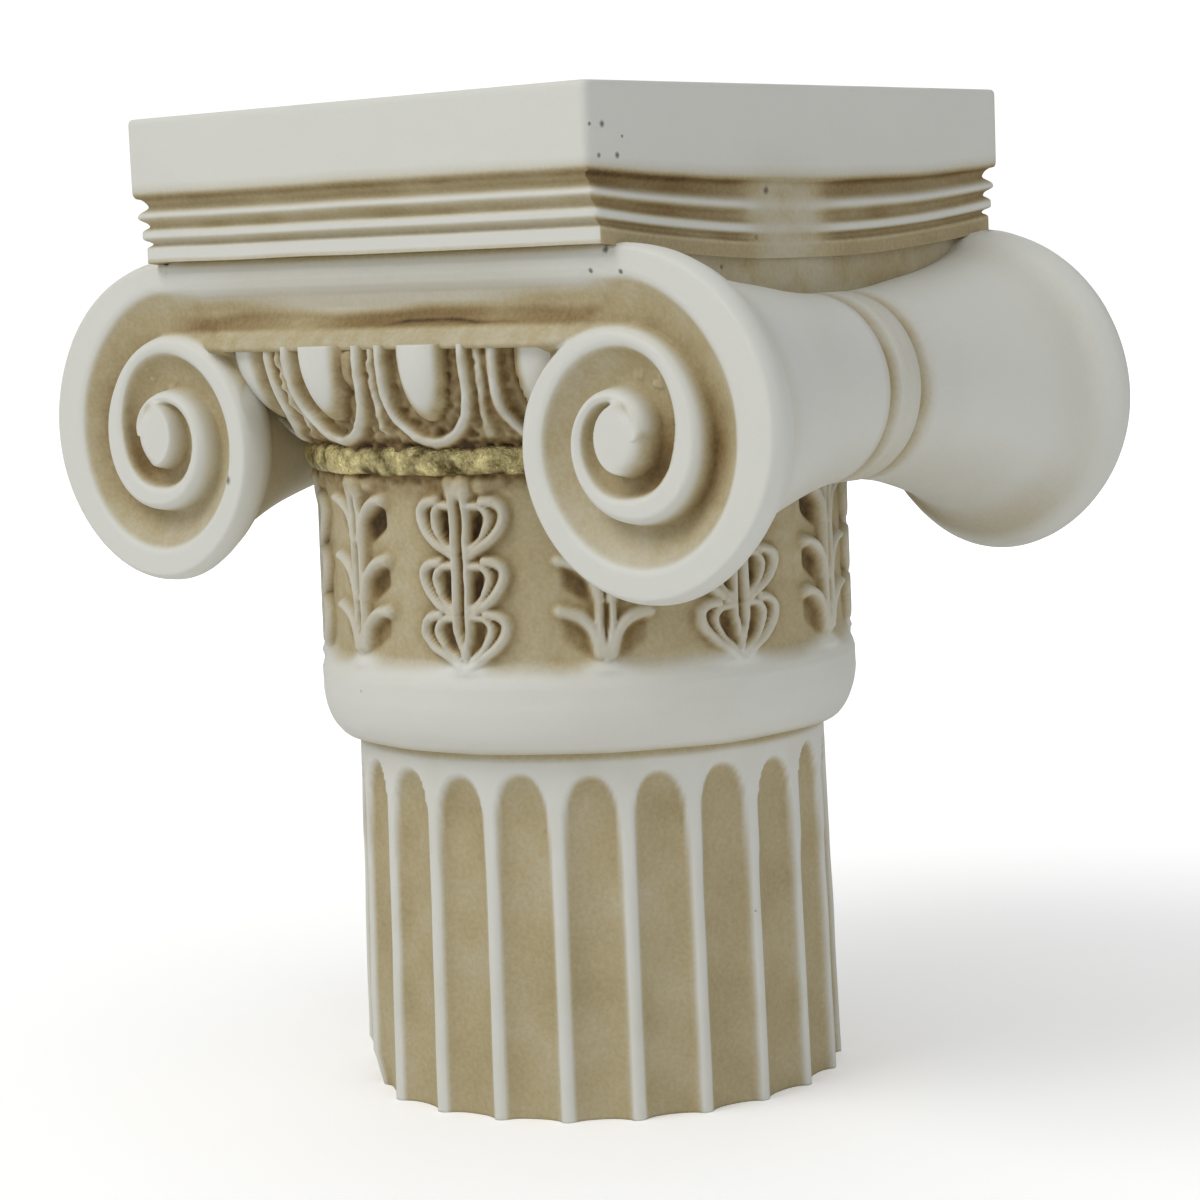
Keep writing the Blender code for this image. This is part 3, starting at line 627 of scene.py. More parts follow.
def face_field(x, z, where):
    """How far the face of a volute stands out at a place about the eye, and its patina and painted
    shade.

    x grows away from the middle of the column, both in millimetres.
    """
    rho = np.hypot(x, z)
    half = np.mod(np.arctan2(x, z), 2.0 * math.pi) / math.pi
    inner_corner = half > 1.5
    slow = mottle(where, 6.0, 61)
    fine = mottle(where, 1.5, 62)
    flat, flat_wash_and_shade = band_field(x + EYE_X, z + EYE_Z, where)
    for turn in range(3):
        tau = half + 2.0 * turn
        edge, wide, crest, floor, thin, foot_wash_and_shade = spiral_at(tau)
        following = spiral_at(tau + 2.0)[0]
        s = edge - rho
        span = edge - wide - np.maximum(following, 4.0) - 0.4
        inside, inside_wash_and_shade = channel_field(s, wide, crest, floor, span, thin, foot_wash_and_shade, tau)
        wall = smooth(-0.65, 0.05, s)
        if turn == 0:
            roll = (1.0 - (1.0 - np.clip(s / 1.3, 0.0, 1.0)) ** 2.5) ** 0.4
            rolled = smooth(0.0, 0.10, half) * smooth(1.60, 1.46, half)
            rim = RIM_FOOT + (inside - RIM_FOOT) * mix(1.0, roll, rolled)
            level = np.where(inner_corner, mix(flat, rim, wall), rim)
            wash_and_shade = np.where(inner_corner, mix(flat_wash_and_shade, inside_wash_and_shade, wall), inside_wash_and_shade)
        else:
            level = mix(level, inside, wall)
            wash_and_shade = mix(wash_and_shade, inside_wash_and_shade, wall)
    head = 1.0 - np.hypot((x + 0.40) / 3.60, (z - 0.70) / 4.05)
    bulge = smooth(-1.5, 2.5, x)
    top = 40.25 - 1.5 * bulge * (1.0 - np.clip(head / 0.55, 0.0, 1.0)) ** 2
    rise = smooth(-0.22, 0.03, head)
    level = mix(level, np.maximum(level, top), rise)
    # the part of the knob that domes away outwards is darker: painted shade of the dome turning from the
    # light, over khaki wash
    head_wash_and_shade = 0.02 + 0.42 * bulge * smooth(0.34, -0.02, head)
    tail = smooth(0.0, 0.12, half) * smooth(0.42, 0.30, half)
    wash_and_shade = mix(wash_and_shade, head_wash_and_shade * (1.0 - 0.8 * tail), rise)
    rubble = smooth(0.1, 0.6, mottle(where, 1.1, 63)) * smooth(0.30, 0.50, wash_and_shade)
    spot = plateau((x - 1.5) / 3.6, (z - 7.3) / 1.5)
    level = level + 0.30 * rubble * spot
    wash_and_shade = wash_and_shade - 0.10 * rubble * spot
    wash_and_shade = wash_and_shade + (0.05 * slow + 0.05 * fine) * smooth(0.15, 0.4, wash_and_shade) + 0.015
    joint = smooth(1.3, 0.7, inside_loop(x, z)) * smooth(1.50, 1.56, half) * smooth(2.0, 1.96, half)
    level = level - 0.06 * joint * smooth(11.8, 12.6, z)
    return level, wash_and_shade


def fill_core(across, along):
    """Block between the volutes: canalis on the front and back, plain sides under the abacus."""
    short_side = 44
    long_side = (across - 1) // 2 - short_side
    tuck = (96.0, 96.0, 99.1)
    front_x = np.linspace(-CORE_HALF_X, CORE_HALF_X, long_side + 1)[:-1]
    side_y = np.linspace(-CORE_HALF_Y, CORE_HALF_Y, short_side + 1)[:-1]
    side_x = np.full(short_side, CORE_HALF_X)
    front_y = np.full(long_side, -CORE_HALF_Y)
    x = np.concatenate([front_x, side_x, -front_x, -side_x])
    y = np.concatenate([front_y, side_y, -front_y, -side_y])
    x = np.append(x, x[0])[None, :]
    y = np.append(y, y[0])[None, :]
    shown = np.linspace(99.22, 111.7, along - 12)
    hidden = np.linspace(112.1, 119.3, 8)
    rows = np.concatenate([tuck, shown, hidden, [119.3]])
    height = rows[:, None]
    where = np.stack([x + 0.0 * height, y + 0.0 * height, height + 0.0 * x], axis=-1)
    across_x = np.abs(where[..., 0])
    reach, wash_and_shade = band_field(across_x, where[..., 2], where)
    inside = inside_loop(across_x - EYE_X, where[..., 2] - EYE_Z)
    reach = reach - 1.3 * smooth(1.1, 2.4, inside)
    reach = mix(reach, CORE_HALF_Y - 1.2, smooth(111.4, 112.2, height))
    reach = np.where(height < 99.2, CORE_HALF_Y - 2.5, reach)
    facing = (np.abs(y) > CORE_HALF_Y - 0.01) & (np.abs(x) < CORE_HALF_X - 0.01)
    edge = smooth(CORE_HALF_X, CORE_HALF_X - 0.8, across_x)
    edge = np.where(height > 104.0, 1.0, edge)
    inner_y = CORE_HALF_Y - 2.0
    out_y = np.where(facing, mix(inner_y, reach, edge), np.minimum(np.abs(y), inner_y))
    out_y = np.sign(y) * out_y
    side_rough = 0.14 * mottle(where, 2.0, 58) + 0.18 * mottle(where, 7.0, 59)
    out_x = np.where(facing, x, np.sign(x) * (CORE_HALF_X + side_rough))
    points = np.stack([out_x, out_y, height + 0.0 * x], axis=-1)
    points[0, :, :2] = 0.0
    points[-1, :, :2] = 0.0
    side_wash = 0.40 + 0.10 * mottle(where, 6.0, 57) + 0.10 * mottle(where, 2.0, 60)
    wash_and_shade = np.where(facing, wash_and_shade, side_wash)
    return points, wash_and_shade


def close_seam(grid):
    """Make a grid run evenly over the place where its last column meets its first."""
    low, high = grid[:, -4].copy(), grid[:, 3].copy()
    for step, column in enumerate((-3, -2, 0, 1, 2)):
        grid[:, column] = mix(low, high, (step + 1.0) / 6.0)
    grid[:, -1] = grid[:, 0]


def rolled_skin(side, middle_x, middle_z, reach, turns, y):
    """Points of the bolster's skin from its axis and its reach."""
    x = side * (middle_x + reach * np.sin(turns))
    return np.stack([x, y, middle_z + reach * np.cos(turns)], axis=-1)


def fill_bolster(side, across, along):
    """One bolster from the front spiral to the back one: face, roll, trumpet, belt and back."""
    face_rows = 132
    body_rows = along - 2 * face_rows
    turns = full_turn(across)
    loop = loop_reach(turns)
    steps = np.linspace(0.0, 1.0, face_rows)
    share = np.interp(steps, [0.0, 0.70, 0.90, 1.0], [0.0, 0.60, 0.92, 1.0])
    inner = share[:, None] * loop
    x = inner * np.sin(turns)
    z = inner * np.cos(turns)
    faces = []
    for sign in (-1.0, 1.0):
        where = np.stack([side * (EYE_X + x), sign * 38.0 + 0.0 * x, EYE_Z + z], axis=-1)
        level, wash_and_shade = face_field(x, z, where)
        faces.append((np.stack([side * (EYE_X + x), sign * level, EYE_Z + z], axis=-1), wash_and_shade))
    edge_level = np.abs(faces[0][0][-1, :, 1])[None, :]
    even = np.linspace(-1.0, 1.0, body_rows)
    crowded = np.sign(even) * (1.0 - (1.0 - np.abs(even)) ** 1.35)
    y = ((0.5 * crowded + 0.5 * even) * RIM_EDGE)[:, None] + 0.0 * turns
    belt = np.abs(y)
    out = belt / RIM_EDGE
    reach = mix(BELT_RADIUS, loop, out * out)
    lip = smooth(31.9, 33.4, belt)
    reach = reach - 0.75 * smooth(14.0, 30.0, belt) * (1.0 - lip)
    groove = plateau((belt - 3.5) / 0.66)
    reach = reach - 0.85 * groove + 0.12 * smooth(3.0, 2.0, belt)
    middle_x = mix(BELT_X, EYE_X, out * out)
    middle_z = mix(BELT_Z, EYE_Z, out * out)
    where = rolled_skin(side, middle_x, middle_z, reach, turns, y)
    slow = mottle(where, 9.0, 71)
    fine = mottle(where, 2.0, 72)
    reach = reach + (0.10 * slow + 0.02 * fine) * smooth(35.9, 32.5, belt)
    body = rolled_skin(side, middle_x, middle_z, reach, turns, y)
    streak = 0.85 + 0.25 * mottle(where, 3.0, 73)
    wash_and_shade = 0.03 + 0.03 * slow + 0.46 * plateau((belt - 3.55) / 0.80) * streak
    wash_and_shade = wash_and_shade + 0.05 * smooth(6.0, 4.2, belt) + 0.05 * smooth(3.2, 1.2, belt)
    # painted shade: under darkens the bolster's underside, also in the khaki hollow before the rim; the
    # inward term darkens its side towards the middle of the column near the rim, brown patina plus
    # painted shade in the recess by the eggs
    under = smooth(0.35, 1.0, -np.cos(turns)) + 0.0 * y
    wash_and_shade = wash_and_shade + 0.10 * smooth(25.0, 31.0, belt) * smooth(34.2, 32.4, belt) * (0.6 + 0.8 * under)
    inward_patina_and_shade = smooth(0.1, 0.9, -np.sin(turns)) + 0.0 * y
    wash_and_shade = wash_and_shade + (0.30 * inward_patina_and_shade + 0.10 * under) * smooth(35.8, 32.6, belt)
    # bring the last body rows out to the edge of the faces
    body[0, :, 1] = -edge_level[0]
    body[-1, :, 1] = edge_level[0]
    for cells, shades in faces:
        close_seam(cells[..., 1])
        close_seam(shades)
    front, front_wash_and_shade = faces[0]
    back, back_wash_and_shade = faces[1]
    wash_and_shade[0] = front_wash_and_shade[-1]
    wash_and_shade[-1] = back_wash_and_shade[-1]
    points = np.concatenate([front, body, back[::-1]], axis=0)
    wash_and_shade = np.concatenate([front_wash_and_shade, wash_and_shade, back_wash_and_shade[::-1]], axis=0)
    return points, wash_and_shade


# abacus


# height, half width and depth of the three grooves between the reeds
REEDS = ((118.75, 0.95, 1.15), (116.15, 0.62, 0.85), (113.75, 0.42, 0.75))
ABACUS_BOTTOM = 111.2


def fill_abacus(across, along):
    """Square plate with three reeds; on two sides its lines hang down and fade in the middle."""
    levels = [TOP, TOP, TOP, 129.93, 129.75, 129.45, 129.05, 128.6]
    levels += list(np.linspace(127.8, 120.8, 10))
    levels += list(np.linspace(120.4, 111.4, along - 22))
    levels += [111.25, ABACUS_BOTTOM, ABACUS_BOTTOM, ABACUS_BOTTOM]
    z = np.array(levels)[:, None]
    inset = np.zeros(len(levels))
    inset[:6] = [0.0, 0.95, 0.55, 0.28, 0.10, 0.02]
    cut = np.zeros(z.shape)
    step = np.zeros(z.shape)
    for line, wide, deep in REEDS:
        cut = cut + deep * np.exp(-((np.abs(z - line) / wide) ** 3))
        step = step + 0.70 * smooth(line + 0.5, line - 0.5, z)
    side_count = (across - 1) // 4
    share = np.linspace(-1.0, 1.0, side_count + 1)[:-1]
    ones = np.ones(side_count)
    fx = np.concatenate([share, ones, -share, -ones])
    fy = np.concatenate([-ones, share, ones, -share])
    fx = np.append(fx, fx[0])[None, :]
    fy = np.append(fy, fy[0])[None, :]
    broad = (np.abs(fy) > 0.9999) & (np.abs(fx) < 0.9999)
    arch = np.where(broad, 0.0, 1.0 - fy * fy)
    from_middle = fy * FASCIA_HALF_Y + 4.0 * np.sign(fx)
    fadeout = np.where(broad, 0.0, plateau(from_middle / 8.5))
    hang = mix(1.7, 2.7, smooth(FASCIA_BOTTOM, 115.5, z)) * arch * smooth(129.3, FASCIA_BOTTOM, z)
    half_x = FASCIA_HALF_X - inset[:, None] - np.where(z < 119.6, mix(cut, 0.9, fadeout), 0.0)
    half_y = FASCIA_HALF_Y - inset[:, None] - step - cut
    px = fx * half_x
    py = fy * half_y
    # blunt the four upright corners
    corner = np.clip(np.minimum(np.abs(fx), np.abs(fy)) - 0.985, 0.0, 1.0) / 0.015
    px = px - np.sign(fx) * 0.28 * corner ** 2
    py = py - np.sign(fy) * 0.28 * corner ** 2
    where = np.stack([px, py, z + 0.0 * fx], axis=-1)
    slow = mottle(where, 12.0, 81)
    wave = 0.10 * mottle(where, 7.0, 82) - 0.10
    body = (z < 129.9) & (z > 111.3)
    px = px + np.where(~broad & body, np.sign(fx) * wave, 0.0)
    py = py + np.where(broad & body, np.sign(fy) * wave, 0.0)
    pz = z - hang + 0.14 * slow * smooth(129.0, 119.0, z) + 0.0 * fx
    points = np.stack([px, py, pz], axis=-1)
    points[0, :, :2] = 0.0
    points[-1, :, :2] = 0.0
    points[0, :, 2] = TOP
    points[-1, :, 2] = ABACUS_BOTTOM
    level = z + 0.0 * fx
    groove_one = plateau((level - 118.9) / 1.15)
    groove_two = plateau((level - 116.15) / 0.85)
    groove_three = plateau((level - 113.75) / 0.62)
    fine = mottle(where, 1.6, 83)
    streak = mottle(where * np.array([0.25, 0.25, 1.0]), 1.3, 84)
    on_side = np.where(broad, 0.0, 1.0) + 0.0 * z
    strong = mix(0.50, 0.66, on_side)
    wash_and_shade = 0.02 + 0.03 * slow + 0.20 * smooth(121.6, 119.8, level) * smooth(118.9, 119.6, level)
    near_corner = on_side * smooth(12.0, 40.0, -fy * FASCIA_HALF_Y * np.sign(fx))
    strong = strong + 0.10 * near_corner
    wash_and_shade = wash_and_shade + strong * groove_one * (1.0 + 0.12 * streak)
    wash_and_shade = wash_and_shade + (strong - 0.06) * groove_two * (1.0 + 0.2 * streak)
    wash_and_shade = wash_and_shade + mix(0.34, 0.60, on_side) * groove_three * (1.0 + 0.2 * streak)
    wash_and_shade = wash_and_shade + on_side * 0.52 * smooth(113.6, 112.6, level)
    wash_and_shade = mix(wash_and_shade, 0.30 + 0.10 * streak + 0.06 * fine, fadeout * 0.8 * smooth(120.4, 119.4, level))
    wash_and_shade = wash_and_shade + 0.05 * smooth(119.4, 119.9, level) * smooth(125.0, 121.0, level) * fadeout
    # darker lower edge of the broad faces: painted shade where the abacus overhangs the canalis
    wash_and_shade = wash_and_shade + 0.30 * smooth(111.9, 111.3, level) * (1.0 - on_side)
    return points, wash_and_shade


# materials


def value_node(tree, operation, one, two=None, three=None):
    """A Math node with its inputs linked or set."""
    node = tree.nodes.new("ShaderNodeMath")
    node.operation = operation
    for slot, given in enumerate((one, two, three)):
        if given is None:
            continue
        if isinstance(given, (int, float)):
            node.inputs[slot].default_value = given
        else:
            tree.links.new(given, node.inputs[slot])
    return node.outputs[0]


def start_group(name, inputs, outputs):
    """An empty shader group with named inputs and outputs."""
    group = bpy.data.node_groups.new(name, "ShaderNodeTree")
    for title, kind, default in inputs:
        socket = group.interface.new_socket(name=title, in_out="INPUT", socket_type=kind)
        if default is not None:
            socket.default_value = default
    for title, kind in outputs:
        group.interface.new_socket(name=title, in_out="OUTPUT", socket_type=kind)
    entry = group.nodes.new("NodeGroupInput")
    leave = group.nodes.new("NodeGroupOutput")
    return group, entry, leave


def noise_in(tree, vector, scale, detail, rough=0.5):
    """A Noise node on a vector, with a fixed or linked scale."""
    node = tree.nodes.new("ShaderNodeTexNoise")
    tree.links.new(vector, node.inputs["Vector"])
    if isinstance(scale, (int, float)):
        node.inputs["Scale"].default_value = scale
    else:
        tree.links.new(scale, node.inputs["Scale"])
    node.inputs["Detail"].default_value = detail
    node.inputs["Roughness"].default_value = rough
    return node.outputs["Fac"]


def swing(tree, value, amount):
    """A noise value as a change to both sides, as strong as the amount."""
    return value_node(tree, "MULTIPLY", value_node(tree, "SUBTRACT", value, 0.5), amount)


def stain_group():
    """Breaks up the wash with clouds, streaks and specks of darker pigment."""
    group, entry, leave = start_group(
        "stain",
        (("Vector", "NodeSocketVector", None), ("Wash", "NodeSocketFloat", 0.0),
         ("Cloud Scale", "NodeSocketFloat", 120.0), ("Cloud Amount", "NodeSocketFloat", 0.2),
         ("Speck Scale", "NodeSocketFloat", 1500.0), ("Speck Amount", "NodeSocketFloat", 0.2)),
        (("Stain", "NodeSocketFloat"),),
    )
    vector, wash_and_shade = entry.outputs["Vector"], entry.outputs["Wash"]
    cloud = noise_in(group, vector, entry.outputs["Cloud Scale"], 4.0, 0.55)
    speck = noise_in(group, vector, entry.outputs["Speck Scale"], 2.0, 0.6)
    cloud = swing(group, cloud, entry.outputs["Cloud Amount"])
    dark = value_node(group, "SMOOTH_MIN", value_node(group, "MULTIPLY", wash_and_shade, 2.4), 1.0, 0.2)
    speck = swing(group, speck, entry.outputs["Speck Amount"])
    both = value_node(group, "MULTIPLY", value_node(group, "ADD", cloud, speck), dark)
    group.links.new(value_node(group, "ADD", wash_and_shade, both), leave.inputs["Stain"])
    return group


def pit_group():
    """Scattered pinholes: a dot mask from random cells, painted dark as the shade inside the holes and
    used for a slight dent.
    """
    group, entry, leave = start_group(
        "pinholes",
        (("Vector", "NodeSocketVector", None), ("Cells", "NodeSocketFloat", 140.0),
         ("Radius", "NodeSocketFloat", 0.04), ("Share", "NodeSocketFloat", 0.8)),
        (("Mask", "NodeSocketFloat"),),
    )
    cells = group.nodes.new("ShaderNodeTexVoronoi")
    cells.feature = "F1"
    group.links.new(entry.outputs["Vector"], cells.inputs["Vector"])
    group.links.new(entry.outputs["Cells"], cells.inputs["Scale"])
    split = group.nodes.new("ShaderNodeSeparateColor")
    group.links.new(cells.outputs["Color"], split.inputs["Color"])
    chosen = value_node(group, "GREATER_THAN", split.outputs["Red"], entry.outputs["Share"])
    size = value_node(group, "ADD", split.outputs["Green"], 0.45)
    size = value_node(group, "MULTIPLY", entry.outputs["Radius"], size)
    share = value_node(group, "DIVIDE", cells.outputs["Distance"], size)
    near = value_node(group, "SUBTRACT", 1.0, share)
    near = value_node(group, "MULTIPLY", value_node(group, "MAXIMUM", near, 0.0), 2.2)
    near = value_node(group, "MINIMUM", near, 1.0)
    group.links.new(value_node(group, "MULTIPLY", near, chosen), leave.inputs["Mask"])
    return group


def named_pit_group():
    """The larger pinholes near the front corner, each at its own place, as a mask painted dark as the
    shade inside them.
    """
    group, entry, leave = start_group(
        "corner_pinholes", (("Vector", "NodeSocketVector", None),), (("Mask", "NodeSocketFloat"),))
    total = None
    for x, y, z, radius in NAMED_PITS:
        far = group.nodes.new("ShaderNodeVectorMath")
        far.operation = "DISTANCE"
        group.links.new(entry.outputs["Vector"], far.inputs[0])
        far.inputs[1].default_value = (x * MM, y * MM, z * MM)
        share = value_node(group, "DIVIDE", far.outputs["Value"], radius * PIT_SCALE * MM)
        near = value_node(group, "SUBTRACT", 1.5, share)
        near = value_node(group, "MINIMUM", value_node(group, "MAXIMUM", near, 0.0), 1.0)
        total = near if total is None else value_node(group, "MAXIMUM", total, near)
    group.links.new(total, leave.inputs["Mask"])
    return group


def place_group(tree, group, vector, values):
    """Put a group into a material with its own values."""
    node = tree.nodes.new("ShaderNodeGroup")
    node.node_tree = group
    tree.links.new(vector, node.inputs["Vector"])
    for title, value in values.items():
        node.inputs[title].default_value = value
    return node


def ramp_node(tree, factor, stops):
    """A colour ramp from a list of places and colours."""
    node = tree.nodes.new("ShaderNodeValToRGB")
    tree.links.new(factor, node.inputs["Fac"])
    ramp = node.color_ramp
    while len(ramp.elements) < len(stops):
        ramp.elements.new(0.5)
    for element, (place, colour) in zip(ramp.elements, stops):
        element.position = place
        element.color = (colour[0], colour[1], colour[2], 1.0)
    return node.outputs["Color"]


def dark_mix(tree, colour, mask, dark):
    """The colour with a darker one laid over it by a mask."""
    node = tree.nodes.new("ShaderNodeMix")
    node.data_type = "RGBA"
    tree.links.new(mask, node.inputs["Factor"])
    tree.links.new(colour, node.inputs["A"])
    node.inputs["B"].default_value = (dark[0], dark[1], dark[2], 1.0)
    return node.outputs["Result"]


def start_material(name):
    """A new node material with its shader and its object coordinates."""
    material = bpy.data.materials.new(name)
    material.use_nodes = True
    tree = material.node_tree
    shader = tree.nodes["Principled BSDF"]
    place = tree.nodes.new("ShaderNodeTexCoord")
    layer = tree.nodes.new("ShaderNodeAttribute")
    layer.attribute_name = "wash_and_shade"
    return material, tree, shader, place.outputs["Object"], layer.outputs["Fac"]


def bump_node(tree, height, strength, distance):
    """A Bump node for the shader's normal."""
    node = tree.nodes.new("ShaderNodeBump")
    tree.links.new(height, node.inputs["Height"])
    node.inputs["Strength"].default_value = strength
    node.inputs["Distance"].default_value = distance
    return node.outputs["Normal"]


# near-black colour of the pinholes: painted shade inside the holes
PIT_SHADE_COLOUR = (0.10, 0.095, 0.075)
GOLD_DEEP = (0.05, 0.035, 0.012)


def stone_material(colours, groups):
    """Off-white cast stone with khaki to brown patina in its hollows, deepened by painted shade in
    creases and under overhangs, and pinholes painted dark as the shade inside them.
    """
    material, tree, shader, vector, wash_and_shade = start_material("cast_stone_patina_and_painted_shade")
    stain = place_group(tree, groups["stain"], vector, {
        "Cloud Scale": 130.0, "Cloud Amount": 0.16, "Speck Scale": 1700.0, "Speck Amount": 0.22})
    tree.links.new(wash_and_shade, stain.inputs["Wash"])
    pits = place_group(tree, groups["pits"], vector, {"Cells": 125.0, "Radius": 0.034, "Share": 0.72})
    corner = place_group(tree, groups["corner"], vector, {})
    white, khaki, brown, deep = colours.stone, colours.khaki, colours.brown, colours.deep
    tan = [mix(white[i], khaki[i], 0.52) for i in range(3)]
    colour = ramp_node(tree, stain.outputs["Stain"], (
        (0.03, white), (0.24, tan), (0.46, khaki), (0.78, brown), (1.0, deep)))
    drift = noise_in(tree, vector, 45.0, 3.0)
    tint = tree.nodes.new("ShaderNodeMix")
    tint.data_type = "RGBA"
    tint.blend_type = "MULTIPLY"
    tree.links.new(value_node(tree, "MULTIPLY", drift, 0.22), tint.inputs["Factor"])
    tree.links.new(colour, tint.inputs["A"])
    tint.inputs["B"].default_value = (0.80, 0.83, 0.84, 1.0)
    mask = value_node(tree, "MULTIPLY", pits.outputs["Mask"], 0.55)
    mask = value_node(tree, "MAXIMUM", mask, corner.outputs["Mask"])
    # pinholes painted dark: painted shade inside the holes
    pit_shaded = dark_mix(tree, tint.outputs["Result"], value_node(tree, "MULTIPLY", mask, 0.85), PIT_SHADE_COLOUR)
    tree.links.new(pit_shaded, shader.inputs["Base Color"])
    grain = noise_in(tree, vector, 2600.0, 3.0, 0.6)
    coarse = noise_in(tree, vector, 420.0, 4.0, 0.6)
    rough = value_node(tree, "MULTIPLY_ADD", coarse, 0.22, 0.46)
    rough = value_node(tree, "ADD", rough, value_node(tree, "MULTIPLY", wash_and_shade, 0.18))
    tree.links.new(rough, shader.inputs["Roughness"])
    height = value_node(tree, "MULTIPLY_ADD", grain, 0.35, value_node(tree, "MULTIPLY", coarse, 0.9))
    height = value_node(tree, "SUBTRACT", height, value_node(tree, "MULTIPLY", mask, 2.6))
    tree.links.new(bump_node(tree, height, 0.55, 0.00012), shader.inputs["Normal"])
    shader.inputs["Specular IOR Level"].default_value = 0.35
    return material


def gold_material(colours, groups):
    """Old gold paint over rough stone, dark in its dents."""
    material, tree, shader, vector, wash_and_shade = start_material("gold_paint_rough")
    stain = place_group(tree, groups["stain"], vector, {
        "Cloud Scale": 420.0, "Cloud Amount": 0.9, "Speck Scale": 2200.0, "Speck Amount": 0.5})
    tree.links.new(wash_and_shade, stain.inputs["Wash"])
    light, dark = colours.gold_light, colours.gold_dark
    middle = [mix(light[i], dark[i], 0.5) for i in range(3)]
    colour = ramp_node(tree, stain.outputs["Stain"], (
        (0.30, light), (0.55, middle), (0.80, dark), (1.0, GOLD_DEEP)))
    tree.links.new(colour, shader.inputs["Base Color"])
    metal = value_node(tree, "MULTIPLY_ADD", stain.outputs["Stain"], -0.45, 1.0)
    tree.links.new(metal, shader.inputs["Metallic"])
    grain = noise_in(tree, vector, 1500.0, 4.0, 0.65)
    tree.links.new(value_node(tree, "MULTIPLY_ADD", grain, 0.30, 0.14), shader.inputs["Roughness"])
    lumps = noise_in(tree, vector, 620.0, 5.0, 0.7)
    height = value_node(tree, "MULTIPLY_ADD", grain, 0.5, lumps)
    tree.links.new(bump_node(tree, height, 1.0, 0.0008), shader.inputs["Normal"])
    return material


def floor_material(colour):
    """Plain pale floor with a very faint unevenness, which glows for the camera: painted light, stronger
    away from the column.
    """
    material = bpy.data.materials.new("glowing_pale_floor")
    material.use_nodes = True
    tree = material.node_tree
    shader = tree.nodes["Principled BSDF"]
    place = tree.nodes.new("ShaderNodeTexCoord")
    cloud = noise_in(tree, place.outputs["Object"], 3.0, 2.0)
    shade = [channel * 0.985 for channel in colour[:3]]
    pale = ramp_node(tree, cloud, ((0.3, shade), (0.7, colour[:3])))
    tree.links.new(pale, shader.inputs["Base Color"])
    shader.inputs["Roughness"].default_value = 0.9
    shader.inputs["Specular IOR Level"].default_value = 0.1
    # painted light: the floor glows for the camera only, from 0.22 near the middle to full strength
    # about 0.6 m away, so it reads white and keeps a faint shade round the foot
    far = tree.nodes.new("ShaderNodeVectorMath")
    far.operation = "LENGTH"
    tree.links.new(place.outputs["Object"], far.inputs[0])
    away = value_node(tree, "MULTIPLY_ADD", far.outputs["Value"], 1.3, 0.22)
    away = value_node(tree, "MINIMUM", away, 1.0)
    path = tree.nodes.new("ShaderNodeLightPath")
    glow = value_node(tree, "MULTIPLY", away, path.outputs["Is Camera Ray"])
    shader.inputs["Emission Color"].default_value = (1.0, 1.0, 1.0, 1.0)
    tree.links.new(glow, shader.inputs["Emission Strength"])
    return material


# settings


def scalar(title, text, default, **limits):
    """A number property."""
    return bpy.props.FloatProperty(name=title, description=text, default=default, **limits)


def length(title, text, default):
    """A size property in metres."""
    return scalar(title, text, default, min=0.0, unit="LENGTH", precision=5)


def how_many(title, text, default):
    """A property for how many there are round the column."""
    return bpy.props.IntProperty(name=title, description=text, default=default, min=4)


def paint(title, text, default):
    """A colour property."""
    return bpy.props.FloatVectorProperty(
        name=title, description=text, default=default, size=3, min=0.0, max=1.0, subtype="COLOR")


class ColumnSizes(bpy.types.PropertyGroup):
    """Sizes of the carving."""

    shaft_radius_foot: length("Shaft foot radius", "Radius of the shaft at its foot", 0.0324)
    shaft_radius_top: length("Shaft top radius", "Radius of the shaft under the band", 0.0315)
    flute_count: how_many("Flutes", "Number of flutes", 22)
    flute_depth: length("Flute depth", "Depth of a flute in its middle", 0.0017)
    flute_share: scalar("Flute share", "Width of a flute against its pitch", 0.86, min=0.3, max=0.95)
    neck_radius: length("Necking radius", "Radius of the ground behind the palmettes", 0.0343)
    leaf_groups: how_many("Palmettes", "Number of palmettes", 12)
    leaf_rise: length("Leaf rise", "How far the leaves stand out", LEAF_RISE)
    ring_radius: length("Ring radius", "Radius of the gold ring", 0.0366)
    egg_half_width: length("Egg half width", "Half the width of an egg", 0.0037)
    egg_rise: length("Egg rise", "How far an egg stands out", 0.0027)
    shell_rise: length("Shell rise", "How far the shell round an egg stands out", 0.0016)


class StoneColours(bpy.types.PropertyGroup):
    """Colours of the stone, the wash and the gold."""

    stone: paint("Stone", "Clean stone", (0.80, 0.80, 0.735))
    khaki: paint("Khaki wash", "Thin wash", (0.520, 0.435, 0.255))
    brown: paint("Brown wash", "Thick wash in the hollows", (0.270, 0.180, 0.070))
    deep: paint("Deep brown", "Wash in the deepest places", (0.085, 0.050, 0.020))
    gold_light: paint("Gold", "Gold paint", (0.95, 0.83, 0.42))
    gold_dark: paint("Dark gold", "Gold paint in its dents", (0.17, 0.13, 0.04))
    floor: paint("Floor", "Floor of the studio", (0.93, 0.93, 0.925))


